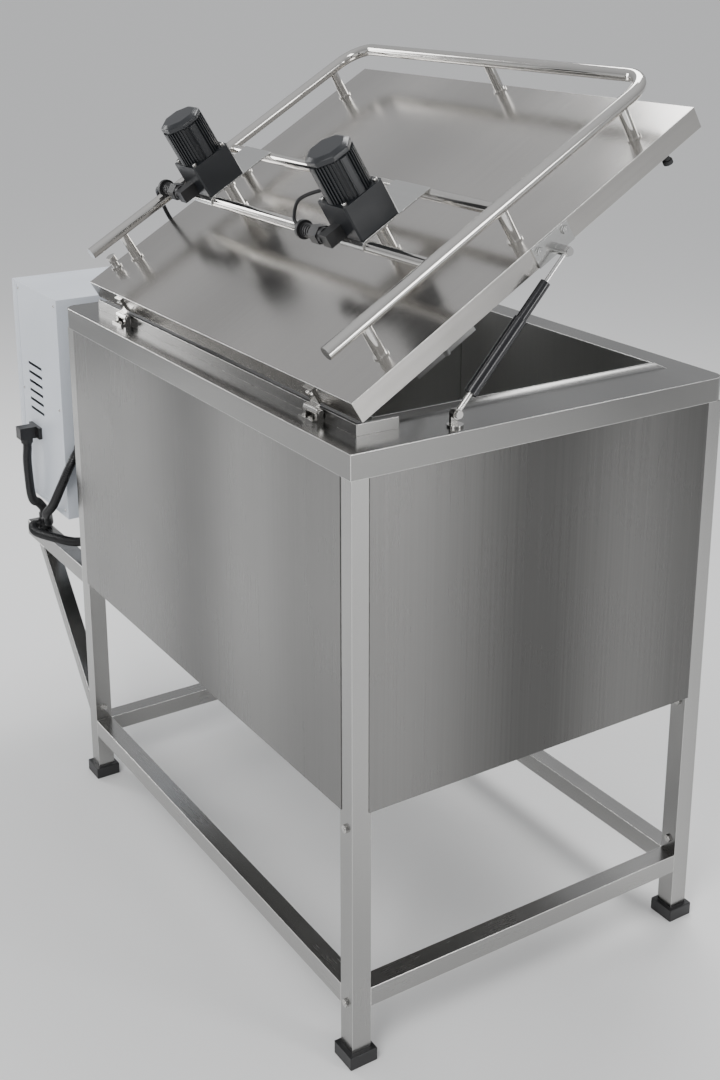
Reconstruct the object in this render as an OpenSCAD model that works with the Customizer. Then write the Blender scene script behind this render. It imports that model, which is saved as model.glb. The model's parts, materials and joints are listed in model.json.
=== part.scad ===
// Insulated rectangular milk tank: leg frame, clad vessel, hinged motor-driven lid and end cabinet.
// X runs along the tank, +Y is the hinge side, -Y is the front, +Z is up.

/* [Tank] */
// Length over the legs
tank_l = 1160; // [1000:10:1600]
// Width over the legs
tank_w = 800; // [700:10:1000]
// Height of the flat rim above the floor
rim_h = 1140; // [1050:10:1300]
// Height of the cladding's bottom edge
clad_z = 500; // [420:10:560]
// Height of the vessel's floor
vessel_floor = 700; // [640:10:800]
// Sheet of the vessel and the rim
sheet = 2; // [1.5:0.5:3]
// Sheet of the cladding panels
clad_t = 1.5; // [1:0.5:2]

/* [Frame] */
// Square leg and stretcher tube
tube = 38; // [30:1:50]
// Wall of the square tube
tube_wall = 2; // [1.5:0.5:3]
// Height of the stretchers' underside
stretcher_z = 110; // [80:10:200]
// Height of a foot
foot_h = 26; // [20:1:40]
// Foot showing round the leg
foot_edge = 9; // [4:1:14]
// How far each panel laps over a leg
clad_lap = 5; // [3:1:10]

/* [Rim] */
// Rim standing out past the legs
rim_over = 5; // [4:1:10]
// Depth of the rim's turned-down edge
rim_drop = 44; // [30:1:60]
// Plan radius of the rounded rim corners
rim_r = 28; // [15:1:40]
// Flat rim at the near end
flat_near = 98; // [90:1:120]
// Flat rim at the far end
flat_far = 100; // [70:1:120]
// Flat rim on the hinge side
flat_hinge = 98; // [90:1:120]
// Flat rim at the front
flat_front = 55; // [25:1:70]
// Width of the sloping lip round the opening
lip_w = 22; // [15:1:30]
// Rise of the sloping lip
lip_h = 9; // [6:1:10]

/* [Lid] */
// Opening angle at rest
lid_open = 30.9; // [20:0.1:31]
// Lid thickness
lid_t = 41; // [36:1:50]
// Rim left bare at the near end
lid_gap_near = 50; // [48:1:60]
// Rim left bare at the far end
lid_gap_far = 74; // [60:1:80]
// Rim left bare at the hinge side
lid_gap_rear = 60; // [58:1:66]
// Lid reaching past the front of the rim
lid_over = 65; // [40:1:80]
// Gap under the closed lid
lid_lift = 23; // [22:1:30]

/* [Rail] */
// Lid rail diameter
rail_d = 25; // [20:1:30]
// Height of the rail's axis above the lid
rail_t = 68; // [64:1:80]
// Rail distance in from the lid's ends
rail_in = 52; // [40:1:70]
// Cross tube diameter
cross_d = 22; // [18:1:24]
// Height of the cross tubes' axes above the lid
cross_t = 61; // [56:1:64]

/* [Drives] */
// Gearbox square
gear_w = 90; // [80:1:100]
// Gearbox height
gear_h = 70; // [60:1:90]
// Motor diameter
motor_d = 88; // [80:1:92]
// Motor length without its fan cover
motor_l = 76; // [60:1:110]
// First drive from the lid's near end
drive_near = 297; // [240:1:330]
// Second drive from the lid's far end
drive_far = 178; // [160:1:240]
// Agitator shaft diameter
shaft_d = 14; // [12:1:18]
// Agitator reach below the lid
agitator_reach = 205; // [150:5:300]

/* [Gas struts] */
// Strut pivot height above the rim
strut_up = 22; // [20:1:28]
// Strut foot from the rim's hinge side
strut_foot = 220; // [200:5:260]
// Upper pivot from the lid's rear edge
strut_pin_v = 452; // [420:1:480]
// Upper pivot above the lid's underside
strut_pin_t = 6; // [2:1:14]

/* [Cabinet] */
// Cabinet depth along the tank
cab_l = 260; // [220:10:320]
// Gap between tank and cabinet
cab_gap = 66; // [50:1:90]
// Cabinet floor height
cab_z = 620; // [580:10:700]
// Cabinet sheet
cab_sheet = 1.5; // [1:0.5:2]
// Top of the bracket arms
arm_z = 526; // [480:1:560]
// Length of the bracket arms
arm_l = 350; // [300:10:400]

/* [Hidden] */
$fn = 48;

steel = [0.74, 0.73, 0.71];
dark_steel = [0.5, 0.5, 0.5];
polished = [0.85, 0.85, 0.85];
black = [0.1, 0.1, 0.11];
white_paint = [0.87, 0.88, 0.9];

// Tank outline, measured from the middle of the leg frame
x_near = -tank_l / 2;
x_far = tank_l / 2;
y_hinge = tank_w / 2;
y_front = -tank_w / 2;
rim_x0 = x_near - rim_over;
rim_x1 = x_far + rim_over;
rim_y0 = y_front - rim_over;
rim_y1 = y_hinge + rim_over;
rim_under = rim_h - sheet;

// Foot of the sloping lip, then the opening inside the vessel's wall
lip_x0 = rim_x0 + flat_near;
lip_x1 = rim_x1 - flat_far;
lip_y0 = rim_y0 + flat_front;
lip_y1 = rim_y1 - flat_hinge;
open_x0 = lip_x0 + lip_w;
open_x1 = lip_x1 - lip_w;
open_y0 = lip_y0 + lip_w;
open_y1 = lip_y1 - lip_w;
lip_z = rim_h + lip_h;
lip_flat = sheet + 3;
drain_x = (open_x0 + open_x1) / 2;
drain_y = (open_y0 + open_y1) / 2;
drain_d = 51;
drain_wall = 1.5;

// Closed lid
lid_l = rim_x1 - rim_x0 - lid_gap_near - lid_gap_far;
lid_d = rim_y1 - rim_y0 - lid_gap_rear + lid_over;
lid_x0 = rim_x0 + lid_gap_near;
lid_y1 = rim_y1 - lid_gap_rear;
lid_z0 = rim_h + lid_lift;
lid_sheet = 1.5;

// Lid hinge
axis_y = lid_y1 + 13;
axis_z = rim_h + 16;
knuckle_r = 7;
hinge_pin_r = 3;
pin_play = 0.05;
hinge_w = 44;
hinge_in = 140;
ear_w = 8;
hinge_x = [lid_x0 + hinge_in, lid_x0 + lid_l - hinge_in];
strip_h = 20;
strip_t = 7;
strip_out = 5;

// Gas strut pivots in the plane across the tank
strut_pin_r = 4;
eye_r = 9;
eye_w = 9;
strut_y = rim_y1 - strut_foot;
strut_z = rim_h + strut_up;
strut_out_near = 23;
strut_out_far = 39;
strut_x = [lid_x0 - strut_out_near, lid_x0 + lid_l + strut_out_far];
pin_dy = lid_y1 - strut_pin_v - axis_y;
pin_dz = lid_z0 + strut_pin_t - axis_z;
top_y = axis_y + pin_dy * cos(lid_open) + pin_dz * sin(lid_open);
top_z = axis_z - pin_dy * sin(lid_open) + pin_dz * cos(lid_open);
strut_len = norm([top_y - strut_y, top_z - strut_z]);
strut_angle = atan2(top_z - strut_z, strut_y - top_y);
strut_gap = 0.4;
stub_l = 40;
sleeve_l = 149;
barrel_l = 75;
sleeve_r = 11.5;
barrel_r = 9;
rod_r = 4;

// Rail and drives on the lid
rail_r = rail_d / 2;
rail_bend = 60;
rail_tail = 24;
rail_front_in = 18;
rail_front_v = lid_d - rail_front_in;
post_v = [104, 415, 712];
post_d = 20;
cross_v = [262, 415];
plate_t = 3;
plate_w = 110;
gear_v = 301;
shaft_v = 319;
drive_u = [drive_near, lid_l - drive_far];
fan_l = 16;

// Cabinet
cab_x0 = x_far + cab_gap;
cab_x1 = cab_x0 + cab_l;
cab_top = rim_h;
door_t = 18;
hinge_side_out = 16;
lock_l = 14;
wall_gland_x = cab_x0 + 174;
wall_gland_z = 790;
wall_gland_out = 46;
arm_gland_x = cab_x0 + 214;
gland_drop = 26;
gland_mid = 27;
arm_gland_h = 38;
link_z = 562;

// Whole extent, so that the origin is under the middle of the part
x_lo = x_near - foot_edge;
x_hi = cab_x1 + door_t + lock_l;
y_lo = y_front - hinge_side_out;
y_hi = y_hinge + wall_gland_out;
x_mid = (x_lo + x_hi) / 2;
y_mid = (y_lo + y_hi) / 2;

// Conduit routes, as points on the centre line between the two fittings that hold each end
conduit_d = 22;
wall_end = [wall_gland_x, y_hinge - 1 + gland_mid, wall_gland_z - gland_drop];
arm_end = [arm_gland_x, y_hinge - tube / 2, arm_z + arm_gland_h];
front_route = [wall_end, wall_end + [0, 0, -12], wall_end + [2, 2, -44], wall_end + [7, -1, -92],
    wall_end + [14, -6, -134], wall_end + [20, -14, -156], arm_end + [-3, 14, 30], arm_end + [0, 0, 10], arm_end];
back_end = [cab_x0, y_hinge - 34, wall_gland_z + 2];
rear_route = [back_end, back_end + [-9, 0, 0], back_end + [-20, 20, -18], back_end + [-22, 38, -46],
    back_end + [-12, 56, -92], back_end + [16, 64, -136], back_end + [66, 62, -172], arm_end + [-86, 22, 22],
    arm_end + [-50, 8, -6], arm_end + [-28, 0, -14], arm_end + [-18, 0, -14]];
link_end = [x_far + clad_t, y_hinge - 60, link_z + 16];
link_route = [link_end, link_end + [10, 0, 0], link_end + [32, 14, -8], link_end + [74, 44, -20],
    link_end + [130, 66, -26], arm_end + [-50, 38, -28], arm_end + [-14, 36, -26], arm_end + [0, 26, -26],
    arm_end + [0, 17, -26]];

// Motor leads
near_lead_d = 7;
far_lead_d = 9;
gland_v = 233;
gland_u = 26;
gland_l = 82;
gland_rise = 16;
lead_cap_r = 8;
lead_cap_l = 6;

module place() translate([-x_mid, -y_mid, 0]) children();

// Lid coordinates: X from the near end, -Y towards the front edge, Z up from the lid's underside
module on_lid() {
    place()
        translate([0, axis_y, axis_z])
            rotate([-lid_open, 0, 0])
                translate([lid_x0, lid_y1 - axis_y, lid_z0 - axis_z])
                    children();
}

module box(x0, x1, y0, y1, z0, z1) translate([x0, y0, z0]) cube([x1 - x0, y1 - y0, z1 - z0]);

module rod_x(r, x0, x1) translate([x0, 0, 0]) rotate([0, 90, 0]) cylinder(r = r, h = x1 - x0);

module rod_y(r, y0, y1) translate([0, y0, 0]) rotate([-90, 0, 0]) cylinder(r = r, h = y1 - y0);

module square_tube(w, wall, h) {
    difference() {
        cube([w, w, h]);
        translate([wall, wall, -1]) cube([w - 2 * wall, w - 2 * wall, h + 2]);
    }
}

// Hex head or nut standing on z = 0
module hex_head(across, h) cylinder(d = across / cos(30), h = h, $fn = 6);

// ---------- frame ----------

module at_legs() {
    for (x = [x_near, x_far - tube], y = [y_front, y_hinge - tube]) translate([x, y, 0]) children();
}

// The legs' outer corners are trimmed at the top to clear the rim's rounded corners
module legs() {
    h = rim_drop + 2;
    color(steel) place() difference() {
        at_legs() translate([0, 0, foot_h]) square_tube(tube, tube_wall, rim_under - foot_h);
        translate([0, 0, rim_h - h]) linear_extrude(h) difference() {
            square([tank_l + 40, tank_w + 40], center = true);
            rim_outline(sheet + 0.3);
        }
    }
}

module feet() {
    pad = tube + 2 * foot_edge;
    plug = tube - 2 * tube_wall - 0.6;
    color(black) place() at_legs() {
        translate([-foot_edge, -foot_edge, 0]) cube([pad, pad, foot_h]);
        translate([(tube - plug) / 2, (tube - plug) / 2, foot_h - 1]) cube([plug, plug, 24]);
    }
}

module long_stretchers() {
    color(steel) place()
        for (y = [y_front, y_hinge - tube])
            translate([x_near + tube, y, stretcher_z + tube])
                rotate([0, 90, 0])
                    square_tube(tube, tube_wall, tank_l - 2 * tube);
}

module short_stretchers() {
    color(steel) place()
        for (x = [x_near, x_far - tube])
            translate([x, y_hinge - tube, stretcher_z])
                rotate([90, 0, 0])
                    square_tube(tube, tube_wall, tank_w - 2 * tube);
}

module bolt(d) {
    hex_head(d * 1.7, d * 0.6);
    translate([0, 0, d * 0.6]) cylinder(d = d * 0.8, h = d * 0.2);
}

// Bolts under the cladding and above the stretchers, on the legs' inner faces
module frame_bolts() {
    low = stretcher_z + tube + 30;
    high = clad_z - 15;
    bolt_d = 8;
    color(polished) place() {
        for (x = [x_near, x_far - tube], z = [low, high])
            translate([x + tube / 2, y_front + tube, z]) rotate([-90, 0, 0]) bolt(bolt_d);
        for (y = [y_front + tube / 2, y_hinge - tube / 2], z = [low, high])
            translate([x_far - tube, y, z]) rotate([0, -90, 0]) bolt(bolt_d);
        for (z = [stretcher_z + 12, clad_z - 30])
            translate([x_near + tube / 2, y_hinge, z]) rotate([-90, 0, 0]) bolt(bolt_d);
    }
}

// ---------- vessel, cladding and rim ----------

module vessel() {
    color(dark_steel) place() difference() {
        box(open_x0 - sheet, open_x1 + sheet, open_y0 - sheet, open_y1 + sheet, vessel_floor - sheet, lip_z);
        box(open_x0, open_x1, open_y0, open_y1, vessel_floor, lip_z + 1);
        translate([drain_x, drain_y, vessel_floor - sheet - 1]) cylinder(d = drain_d - 2 * drain_wall, h = sheet + 2);
    }
}

module leg_clear(play) {
    at_legs() translate([-play, -play, foot_h]) cube([tube + 2 * play, tube + 2 * play, rim_h]);
}

module insulation() {
    play = 0.5;
    color([0.9, 0.85, 0.6]) place() difference() {
        box(x_near + play, x_far - play, y_front + play, y_hinge - play, clad_z + sheet + play, rim_under - play);
        box(open_x0 - sheet - play, open_x1 + sheet + play, open_y0 - sheet - play, open_y1 + sheet + play,
            vessel_floor - sheet - play, rim_h);
        leg_clear(play);
        translate([drain_x, drain_y, clad_z]) cylinder(d = drain_d + 2 * play, h = vessel_floor - clad_z);
    }
}

// Rim outline in plan, drawn in by a given amount; the near hinge corner stays square
module rim_outline(inset) {
    r = rim_r - inset;
    x0 = rim_x0 + inset;
    x1 = rim_x1 - inset;
    y0 = rim_y0 + inset;
    y1 = rim_y1 - inset;
    translate([x0 + r, y0]) square([x1 - x0 - 2 * r, y1 - y0]);
    translate([x0, y0 + r]) square([x1 - x0, y1 - y0 - 2 * r]);
    translate([x0, y1 - r]) square([r, r]);
    for (c = [[x0 + r, y0 + r], [x1 - r, y0 + r], [x1 - r, y1 - r]]) translate(c) circle(r = r);
}

// Block whose sides slope in from the lip's foot to the opening
module lip_block() {
    p = [[lip_x0, lip_y0, rim_h], [lip_x1, lip_y0, rim_h], [lip_x1, lip_y1, rim_h], [lip_x0, lip_y1, rim_h],
        [open_x0 - lip_flat, open_y0 - lip_flat, lip_z], [open_x1 + lip_flat, open_y0 - lip_flat, lip_z],
        [open_x1 + lip_flat, open_y1 + lip_flat, lip_z], [open_x0 - lip_flat, open_y1 + lip_flat, lip_z]];
    polyhedron(p, [[0, 1, 2, 3], [4, 7, 6, 5], [0, 4, 5, 1], [1, 5, 6, 2], [2, 6, 7, 3], [3, 7, 4, 0]]);
}

module rim() {
    color(steel) place() difference() {
        union() {
            translate([0, 0, rim_under]) linear_extrude(sheet) rim_outline(0);
            translate([0, 0, rim_h - rim_drop]) linear_extrude(rim_drop - sheet) difference() {
                rim_outline(0);
                rim_outline(sheet);
            }
            lip_block();
        }
        box(open_x0 - sheet, open_x1 + sheet, open_y0 - sheet, open_y1 + sheet, rim_under - 1, lip_z + 1);
    }
}

// One cladding sheet with its lower edge turned in over the bottom pan's edge
module clad_sheet(l) {
    turn = 12;
    h = rim_under - clad_z;
    translate([-l / 2, 0, clad_z]) cube([l, clad_t, h]);
    translate([-l / 2, -turn, clad_z - clad_t]) cube([l, turn + clad_t, clad_t]);
}

clad_len = tank_l - 2 * (tube - clad_lap);
clad_wid = tank_w - 2 * (tube - clad_lap);

module side_clad() {
    difference() {
        clad_sheet(clad_len);
        for (s = [-1, 1])
            translate([s * (tank_l / 2 - tube / 2), -tube / 2, clad_z - 5])
                cube([tube + 0.6, tube, 10], center = true);
    }
}

module end_clad() {
    difference() {
        clad_sheet(clad_wid);
        for (s = [-1, 1])
            translate([s * (tank_w / 2 - tube / 2), -tube / 2, clad_z - 5])
                cube([tube + 0.6, tube, 10], center = true);
    }
}

module panel_hinge_side() color(steel) place() translate([0, y_hinge, 0]) side_clad();

module panel_front() color(steel) place() rotate([0, 0, 180]) translate([0, y_hinge, 0]) side_clad();

module panel_near_end() color(steel) place() rotate([0, 0, 90]) translate([0, x_far, 0]) end_clad();

module panel_far_end() color(steel) place() rotate([0, 0, -90]) translate([0, x_far, 0]) end_clad();

module bottom_pan() {
    color(steel) place() difference() {
        box(x_near, x_far, y_front, y_hinge, clad_z, clad_z + sheet);
        leg_clear(0.3);
        translate([drain_x, drain_y, clad_z - 1]) cylinder(d = drain_d + 0.6, h = sheet + 2);
    }
}

// ---------- outlet ----------
valve_h = 34;
valve_z = 410;
valve_r = 40;
spigot_l = 36;
stem_r = 5;
valve_turn_z = valve_z + valve_h / 2;

module outlet_pipe() {
    color(polished) place() translate([drain_x, drain_y, valve_z + valve_h])
        difference() {
            cylinder(d = drain_d, h = vessel_floor - sheet - valve_z - valve_h);
            translate([0, 0, -1]) cylinder(d = drain_d - 2 * drain_wall, h = vessel_floor);
        }
}

module valve_body() {
    color(polished) place() translate([drain_x, drain_y, valve_z]) difference() {
        union() {
            cylinder(r = valve_r, h = valve_h);
            translate([0, 0, -spigot_l]) cylinder(d = drain_d, h = spigot_l);
            translate([0, 0, valve_h / 2]) rod_x(9, 0, valve_r + 8);
        }
        translate([0, 0, -spigot_l - 1]) cylinder(d = drain_d - 2 * drain_wall, h = spigot_l + valve_h + 2);
        translate([0, 0, valve_h / 2]) rod_x(stem_r + pin_play, -valve_r + 6, valve_r + 9);
    }
}

module valve_lever() {
    disc_r = drain_d / 2 - drain_wall - 0.5;
    color(polished) place() translate([drain_x, drain_y, valve_turn_z]) {
        translate([0, 0, -2]) cylinder(r = disc_r, h = 4);
        rod_x(stem_r, -valve_r + 8, valve_r + 20);
        translate([valve_r + 9, -110, -3]) cube([6, 110, 6]);
        translate([valve_r + 12, 0, 0]) rod_y(8, -150, -110);
    }
}

// ---------- hinge strip, hinges ----------

// Raised strip under the lid's rear edge, turning the near corner
module hinge_strip() {
    x0 = lid_x0 + 20;
    y0 = lid_y1 + strip_out - strip_t;
    turn_l = 75;
    color(steel) place() {
        box(x0, lid_x0 + lid_l + 10, y0, y0 + strip_t, rim_h, rim_h + strip_h);
        box(x0, x0 + strip_t, y0 - turn_l, y0 + strip_t, rim_h, rim_h + strip_h);
    }
}

module hinge_bases() {
    inner = lid_y1 + strip_out + 0.2;
    color(polished) place() for (x = hinge_x) translate([x, 0, 0]) difference() {
        union() {
            box(-hinge_w / 2, hinge_w / 2, inner, axis_y + 16, rim_h, rim_h + 4);
            for (s = [-1, 1])
                translate([s * (hinge_w - ear_w) / 2, axis_y, 0]) {
                    box(-ear_w / 2, ear_w / 2, -6, 6, rim_h + 3, axis_z);
                    translate([0, 0, axis_z]) rod_x(knuckle_r, -ear_w / 2, ear_w / 2);
                }
            for (s = [-1, 1])
                translate([s * 9, axis_y + 11, rim_h + 4]) cylinder(d = 8, h = 3);
        }
        translate([0, axis_y, axis_z]) rod_x(hinge_pin_r + pin_play, -hinge_w, hinge_w);
    }
}

module hinge_pins() {
    color(polished) place() for (x = hinge_x) translate([x, axis_y, axis_z]) {
        rod_x(hinge_pin_r, -hinge_w / 2 - 0.3, hinge_w / 2 + 2);
        rod_x(5, -hinge_w / 2 - 4.3, -hinge_w / 2 - 0.3);
    }
}

leaf_w = hinge_w - 2 * ear_w - 0.8;

// Leaves on the lid, drawn for the closed lid about the hinge axis
module hinge_leaves() {
    back = axis_y - lid_y1;
    over = rim_h + strip_h + 0.5 - axis_z;
    color(polished) place() translate([0, axis_y, axis_z]) rotate([-lid_open, 0, 0])
        for (x = hinge_x) translate([x, 0, 0]) difference() {
            union() {
                rod_x(knuckle_r, -leaf_w / 2, leaf_w / 2);
                box(-leaf_w / 2, leaf_w / 2, -back, 0, over, over + 3.5);
                box(-leaf_w / 2, leaf_w / 2, -back, -back + 4, over, over + 34);
                for (s = [-1, 1])
                    translate([s * 7, -back + 4, over + 22]) rod_y(4, 0, 2.5);
            }
            rod_x(hinge_pin_r + pin_play, -hinge_w, hinge_w);
        }
}

// ---------- lid ----------

module lid_holes(r) {
    for (u = drive_u) translate([u, -shaft_v, -20]) cylinder(r = r, h = lid_t + 40);
}

module lid_shell() {
    in = lid_sheet;
    color(steel) on_lid() difference() {
        box(0, lid_l, -lid_d, 0, 0, lid_t);
        box(in, lid_l - in, in - lid_d, -in, -1, lid_t - in);
        lid_holes(shaft_d / 2 + 2);
    }
}

module lid_liner() {
    in = lid_sheet;
    color(steel) on_lid() difference() {
        box(in, lid_l - in, in - lid_d, -in, 0, in);
        lid_holes(shaft_d / 2 + 2);
    }
}

module lid_foam() {
    in = lid_sheet + 0.5;
    color([0.9, 0.85, 0.6]) on_lid() difference() {
        box(in, lid_l - in, in - lid_d, -in, in, lid_t - in);
        lid_holes(shaft_d / 2 + 4);
    }
}

// Rubber ring that lands on the lip of the opening
seal_w = 10;
seal_gap = 0.4;
seal_h = lid_z0 - lip_z - seal_gap;

module lid_seal() {
    u0 = open_x0 - lid_x0 - sheet;
    u1 = open_x1 - lid_x0 + sheet;
    v0 = open_y1 - lid_y1 + sheet;
    v1 = open_y0 - lid_y1 - sheet;
    color(black) on_lid() difference() {
        box(u0 - seal_w / 2, u1 + seal_w / 2, v1 - seal_w / 2, v0 + seal_w / 2, -seal_h, 0);
        box(u0 + seal_w / 2, u1 - seal_w / 2, v1 + seal_w / 2, v0 - seal_w / 2, -seal_h - 1, 1);
    }
}

module lid_bumpers() {
    color(black) on_lid() for (u = [16, lid_l - 16])
        translate([u, -(lid_d - lid_over - 16), -(lid_lift - 0.4)]) {
            cylinder(r = 9, h = 8);
            translate([0, 0, 8]) cylinder(r = 6, h = lid_lift - 8.4);
        }
}

module lid_vent() {
    color(polished) on_lid() translate([lid_l - 26, -62, lid_t]) {
        cylinder(d = 24, h = 4);
        translate([0, 0, 4]) cylinder(d = 14, h = 10);
        translate([0, 0, 14]) cylinder(d = 20, h = 14);
    }
}

// ---------- rail ----------

function unit(v) = v / norm(v);

module frame_to(x, y, z, o) {
    multmatrix([[x[0], y[0], z[0], o[0]], [x[1], y[1], z[1], o[1]], [x[2], y[2], z[2], o[2]], [0, 0, 0, 1]]) children();
}

module bar(from, to, d) {
    a = unit(to - from);
    side = unit(cross(a, abs(a[2]) < 0.9 ? [0, 0, 1] : [1, 0, 0]));
    frame_to(side, cross(a, side), a, from) cylinder(d = d, h = norm(to - from));
}

rail_wall = 1.5;
rail_path = [
    [rail_in, -rail_tail, lid_t + rail_t],
    [rail_in, -rail_front_v, lid_t + rail_t],
    [lid_l - rail_in, -rail_front_v, lid_t + rail_t],
    [lid_l - rail_in, -rail_tail, lid_t + rail_t]];

// The rail's middle line, with an arc of short runs at each front corner
function quarter(centre, from) =
    [for (i = [0 : 8]) centre + rail_bend * [cos(from + 90 * i / 8), sin(from + 90 * i / 8), 0]];
rail_line = concat(
    [rail_path[0]],
    quarter(rail_path[1] + [rail_bend, rail_bend, 0], 180),
    quarter(rail_path[2] + [-rail_bend, rail_bend, 0], 270),
    [rail_path[3]]);

module lid_rail() {
    color(polished) on_lid() hollow_tube(rail_line, rail_d, rail_wall, 24);
}

// Room that one straight run of the rail takes up
module rail_space(i) bar(rail_path[i], rail_path[i + 1], rail_d + 0.2);

module rail_posts() {
    collar_h = 3;
    color(polished) on_lid() difference() {
        union() {
            for (u = [rail_in, lid_l - rail_in], v = post_v) translate([u, -v, lid_t]) {
                cylinder(d = post_d, h = rail_t);
                cylinder(d = post_d + 8, h = collar_h);
            }
            translate([lid_l / 2, -rail_front_v, lid_t]) {
                cylinder(d = post_d, h = rail_t);
                cylinder(d = post_d + 8, h = collar_h);
            }
        }
        for (i = [0, 1, 2]) rail_space(i);
    }
}

module cross_tubes() {
    color(polished) on_lid() difference() {
        for (v = cross_v)
            translate([0, -v, lid_t + cross_t]) difference() {
                rod_x(cross_d / 2, rail_in, lid_l - rail_in);
                rod_x(cross_d / 2 - rail_wall, rail_in - 1, lid_l - rail_in + 1);
            }
        rail_space(0);
        rail_space(2);
        for (u = [rail_in, lid_l - rail_in])
            translate([u, -cross_v[1], lid_t]) cylinder(d = post_d + 0.2, h = 120);
    }
}

// Folded plates that carry the drives, hooked over the rear cross tube
module motor_plates() {
    r_in = cross_d / 2 + 0.2;
    z0 = lid_t + cross_t;
    front_v = cross_v[1] + 4;
    color(polished) on_lid() for (u = drive_u) difference() {
        union() {
            box(u - gear_w / 2 - 5, u - gear_w / 2 - 5 + plate_w, -front_v, -cross_v[0],
                z0 + r_in, z0 + r_in + plate_t);
            translate([u - gear_w / 2 - 5, -cross_v[0], z0]) rotate([0, 90, 0]) rotate([0, 0, 90])
                rotate_extrude(angle = 90) translate([r_in, 0]) square([plate_t, plate_w]);
        }
        translate([u, -shaft_v, z0]) cylinder(r = shaft_d / 2 + 2, h = 30);
    }
}

shaft_in = 30;
drive_base = lid_t + cross_t + cross_d / 2 + 0.2 + plate_t;

module gearbox(u) {
    c = 4;
    color(black) on_lid() translate([u, -gear_v, drive_base]) {
        difference() {
            linear_extrude(gear_h) difference() {
                square(gear_w, center = true);
                for (a = [0 : 90 : 270]) rotate([0, 0, a])
                    translate([gear_w / 2, gear_w / 2]) rotate([0, 0, 45]) square(c, center = true);
            }
            translate([0, gear_v - shaft_v, -1]) cylinder(r = shaft_d / 2 + pin_play, h = shaft_in + 2);
        }
        for (x = [-1, 1], y = [-1, 1])
            translate([x * (gear_w / 2 - 9), y * (gear_w / 2 - 9), gear_h]) cylinder(d = 8, h = 5);
    }
}

module gearbox_near() gearbox(drive_u[0]);
module gearbox_far() gearbox(drive_u[1]);

// Finned outline: a circle with straight grooves
module fin_outline(d, count, depth) {
    difference() {
        circle(d = d);
        for (i = [0 : count - 1]) rotate([0, 0, i * 360 / count])
            translate([d / 2 - depth / 2 + 1, 0]) square([depth + 2, 3.2], center = true);
    }
}

module motor(u) {
    fins = 28;
    color(black) on_lid() translate([u, -gear_v, drive_base + gear_h]) {
        linear_extrude(motor_l) fin_outline(motor_d, fins, 3);
    }
}

module motor_near() motor(drive_u[0]);
module motor_far() motor(drive_u[1]);

module fan_covers() {
    r = motor_d / 2;
    color(black) on_lid() for (u = drive_u) translate([u, -gear_v, drive_base + gear_h + motor_l]) {
        rotate([0, 0, 22.5]) cylinder(r = r, h = fan_l - 6, $fn = 8);
        rotate([0, 0, 22.5]) translate([0, 0, fan_l - 6]) cylinder(r1 = r, r2 = r - 9, h = 6, $fn = 8);
    }
}

gland_t = drive_base + gland_rise;
near_cap = [drive_u[0] + gear_w / 2, -gear_v + 10, drive_base + gear_h - 15];
far_cap = [lid_l, -gland_v, lid_t - 20];

// Cable entry behind each gearbox: clamp band, hexagon body, ribbed sleeve and end ring
module lead_glands() {
    rib = 4;
    color(black) on_lid() {
        for (u = drive_u) translate([u + gland_u, -gland_v, gland_t]) {
            box(-26, 0, gland_v - gear_v + gear_w / 2, 13, -13, 13);
            rod_x(15, 0, 10);
            rotate([0, 90, 0]) translate([0, 0, 10]) hex_head(32, 26);
            rod_x(11, 36, gland_l - 8);
            for (i = [0 : 4]) rod_x(13, 38 + i * 7.5, 38 + i * 7.5 + rib);
            rod_x(18, gland_l - 8, gland_l);
        }
        translate(near_cap) rod_x(lead_cap_r, 0, lead_cap_l);
        translate(far_cap) rod_x(lead_cap_r, 0, lead_cap_l);
    }
}

// ---------- swept soft tubes ----------

// Smooth curve through the route's points, straight over its first and last stretch
function spline_at(p, i, t) =
    let (n = len(p) - 1, a = p[max(i - 1, 0)], b = p[i], c = p[min(i + 1, n)], d = p[min(i + 2, n)])
    i == 0 || i == n - 1 ? b + (c - b) * t :
    0.5 * (2 * b + (c - a) * t + (2 * a - 5 * b + 4 * c - d) * t * t + (3 * b - a - 3 * c + d) * t * t * t);
function steps_at(p, i, steps) = i == 0 || i == len(p) - 2 ? 1 : steps;
function spline(p, steps) = concat(
    [for (i = [0 : len(p) - 2], s = [0 : steps_at(p, i, steps) - 1]) spline_at(p, i, s / steps_at(p, i, steps))],
    [p[len(p) - 1]]);
function heading(c, i) = unit(c[min(i + 1, len(c) - 1)] - c[max(i - 1, 0)]);
// Side vectors carried along the route, so that the tube doesn't twist
function sides_along(c, i = 0, s = [0, 0, 0]) =
    i == len(c) ? [] :
    let (t = heading(c, i),
        seed = i == 0 ? (abs(t[2]) < 0.8 ? [0, 0, 1] : [1, 0, 0]) : s,
        n = unit(seed - t * (seed * t)))
    concat([n], sides_along(c, i + 1, n));

module swept_tube(route, d, sides, steps) {
    c = spline(route, steps);
    s = sides_along(c);
    pts = [for (i = [0 : len(c) - 1], k = [0 : sides - 1])
        let (t = heading(c, i), b = cross(t, s[i]), a = 360 * k / sides)
        c[i] + d / 2 * (cos(a) * s[i] + sin(a) * b)];
    last = (len(c) - 1) * sides;
    faces = concat(
        [[for (k = [0 : sides - 1]) k]],
        [[for (k = [sides - 1 : -1 : 0]) last + k]],
        [for (i = [0 : len(c) - 2], k = [0 : sides - 1])
            [i * sides + k, (i + 1) * sides + k, (i + 1) * sides + (k + 1) % sides, i * sides + (k + 1) % sides]]);
    polyhedron(pts, faces);
}

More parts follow.
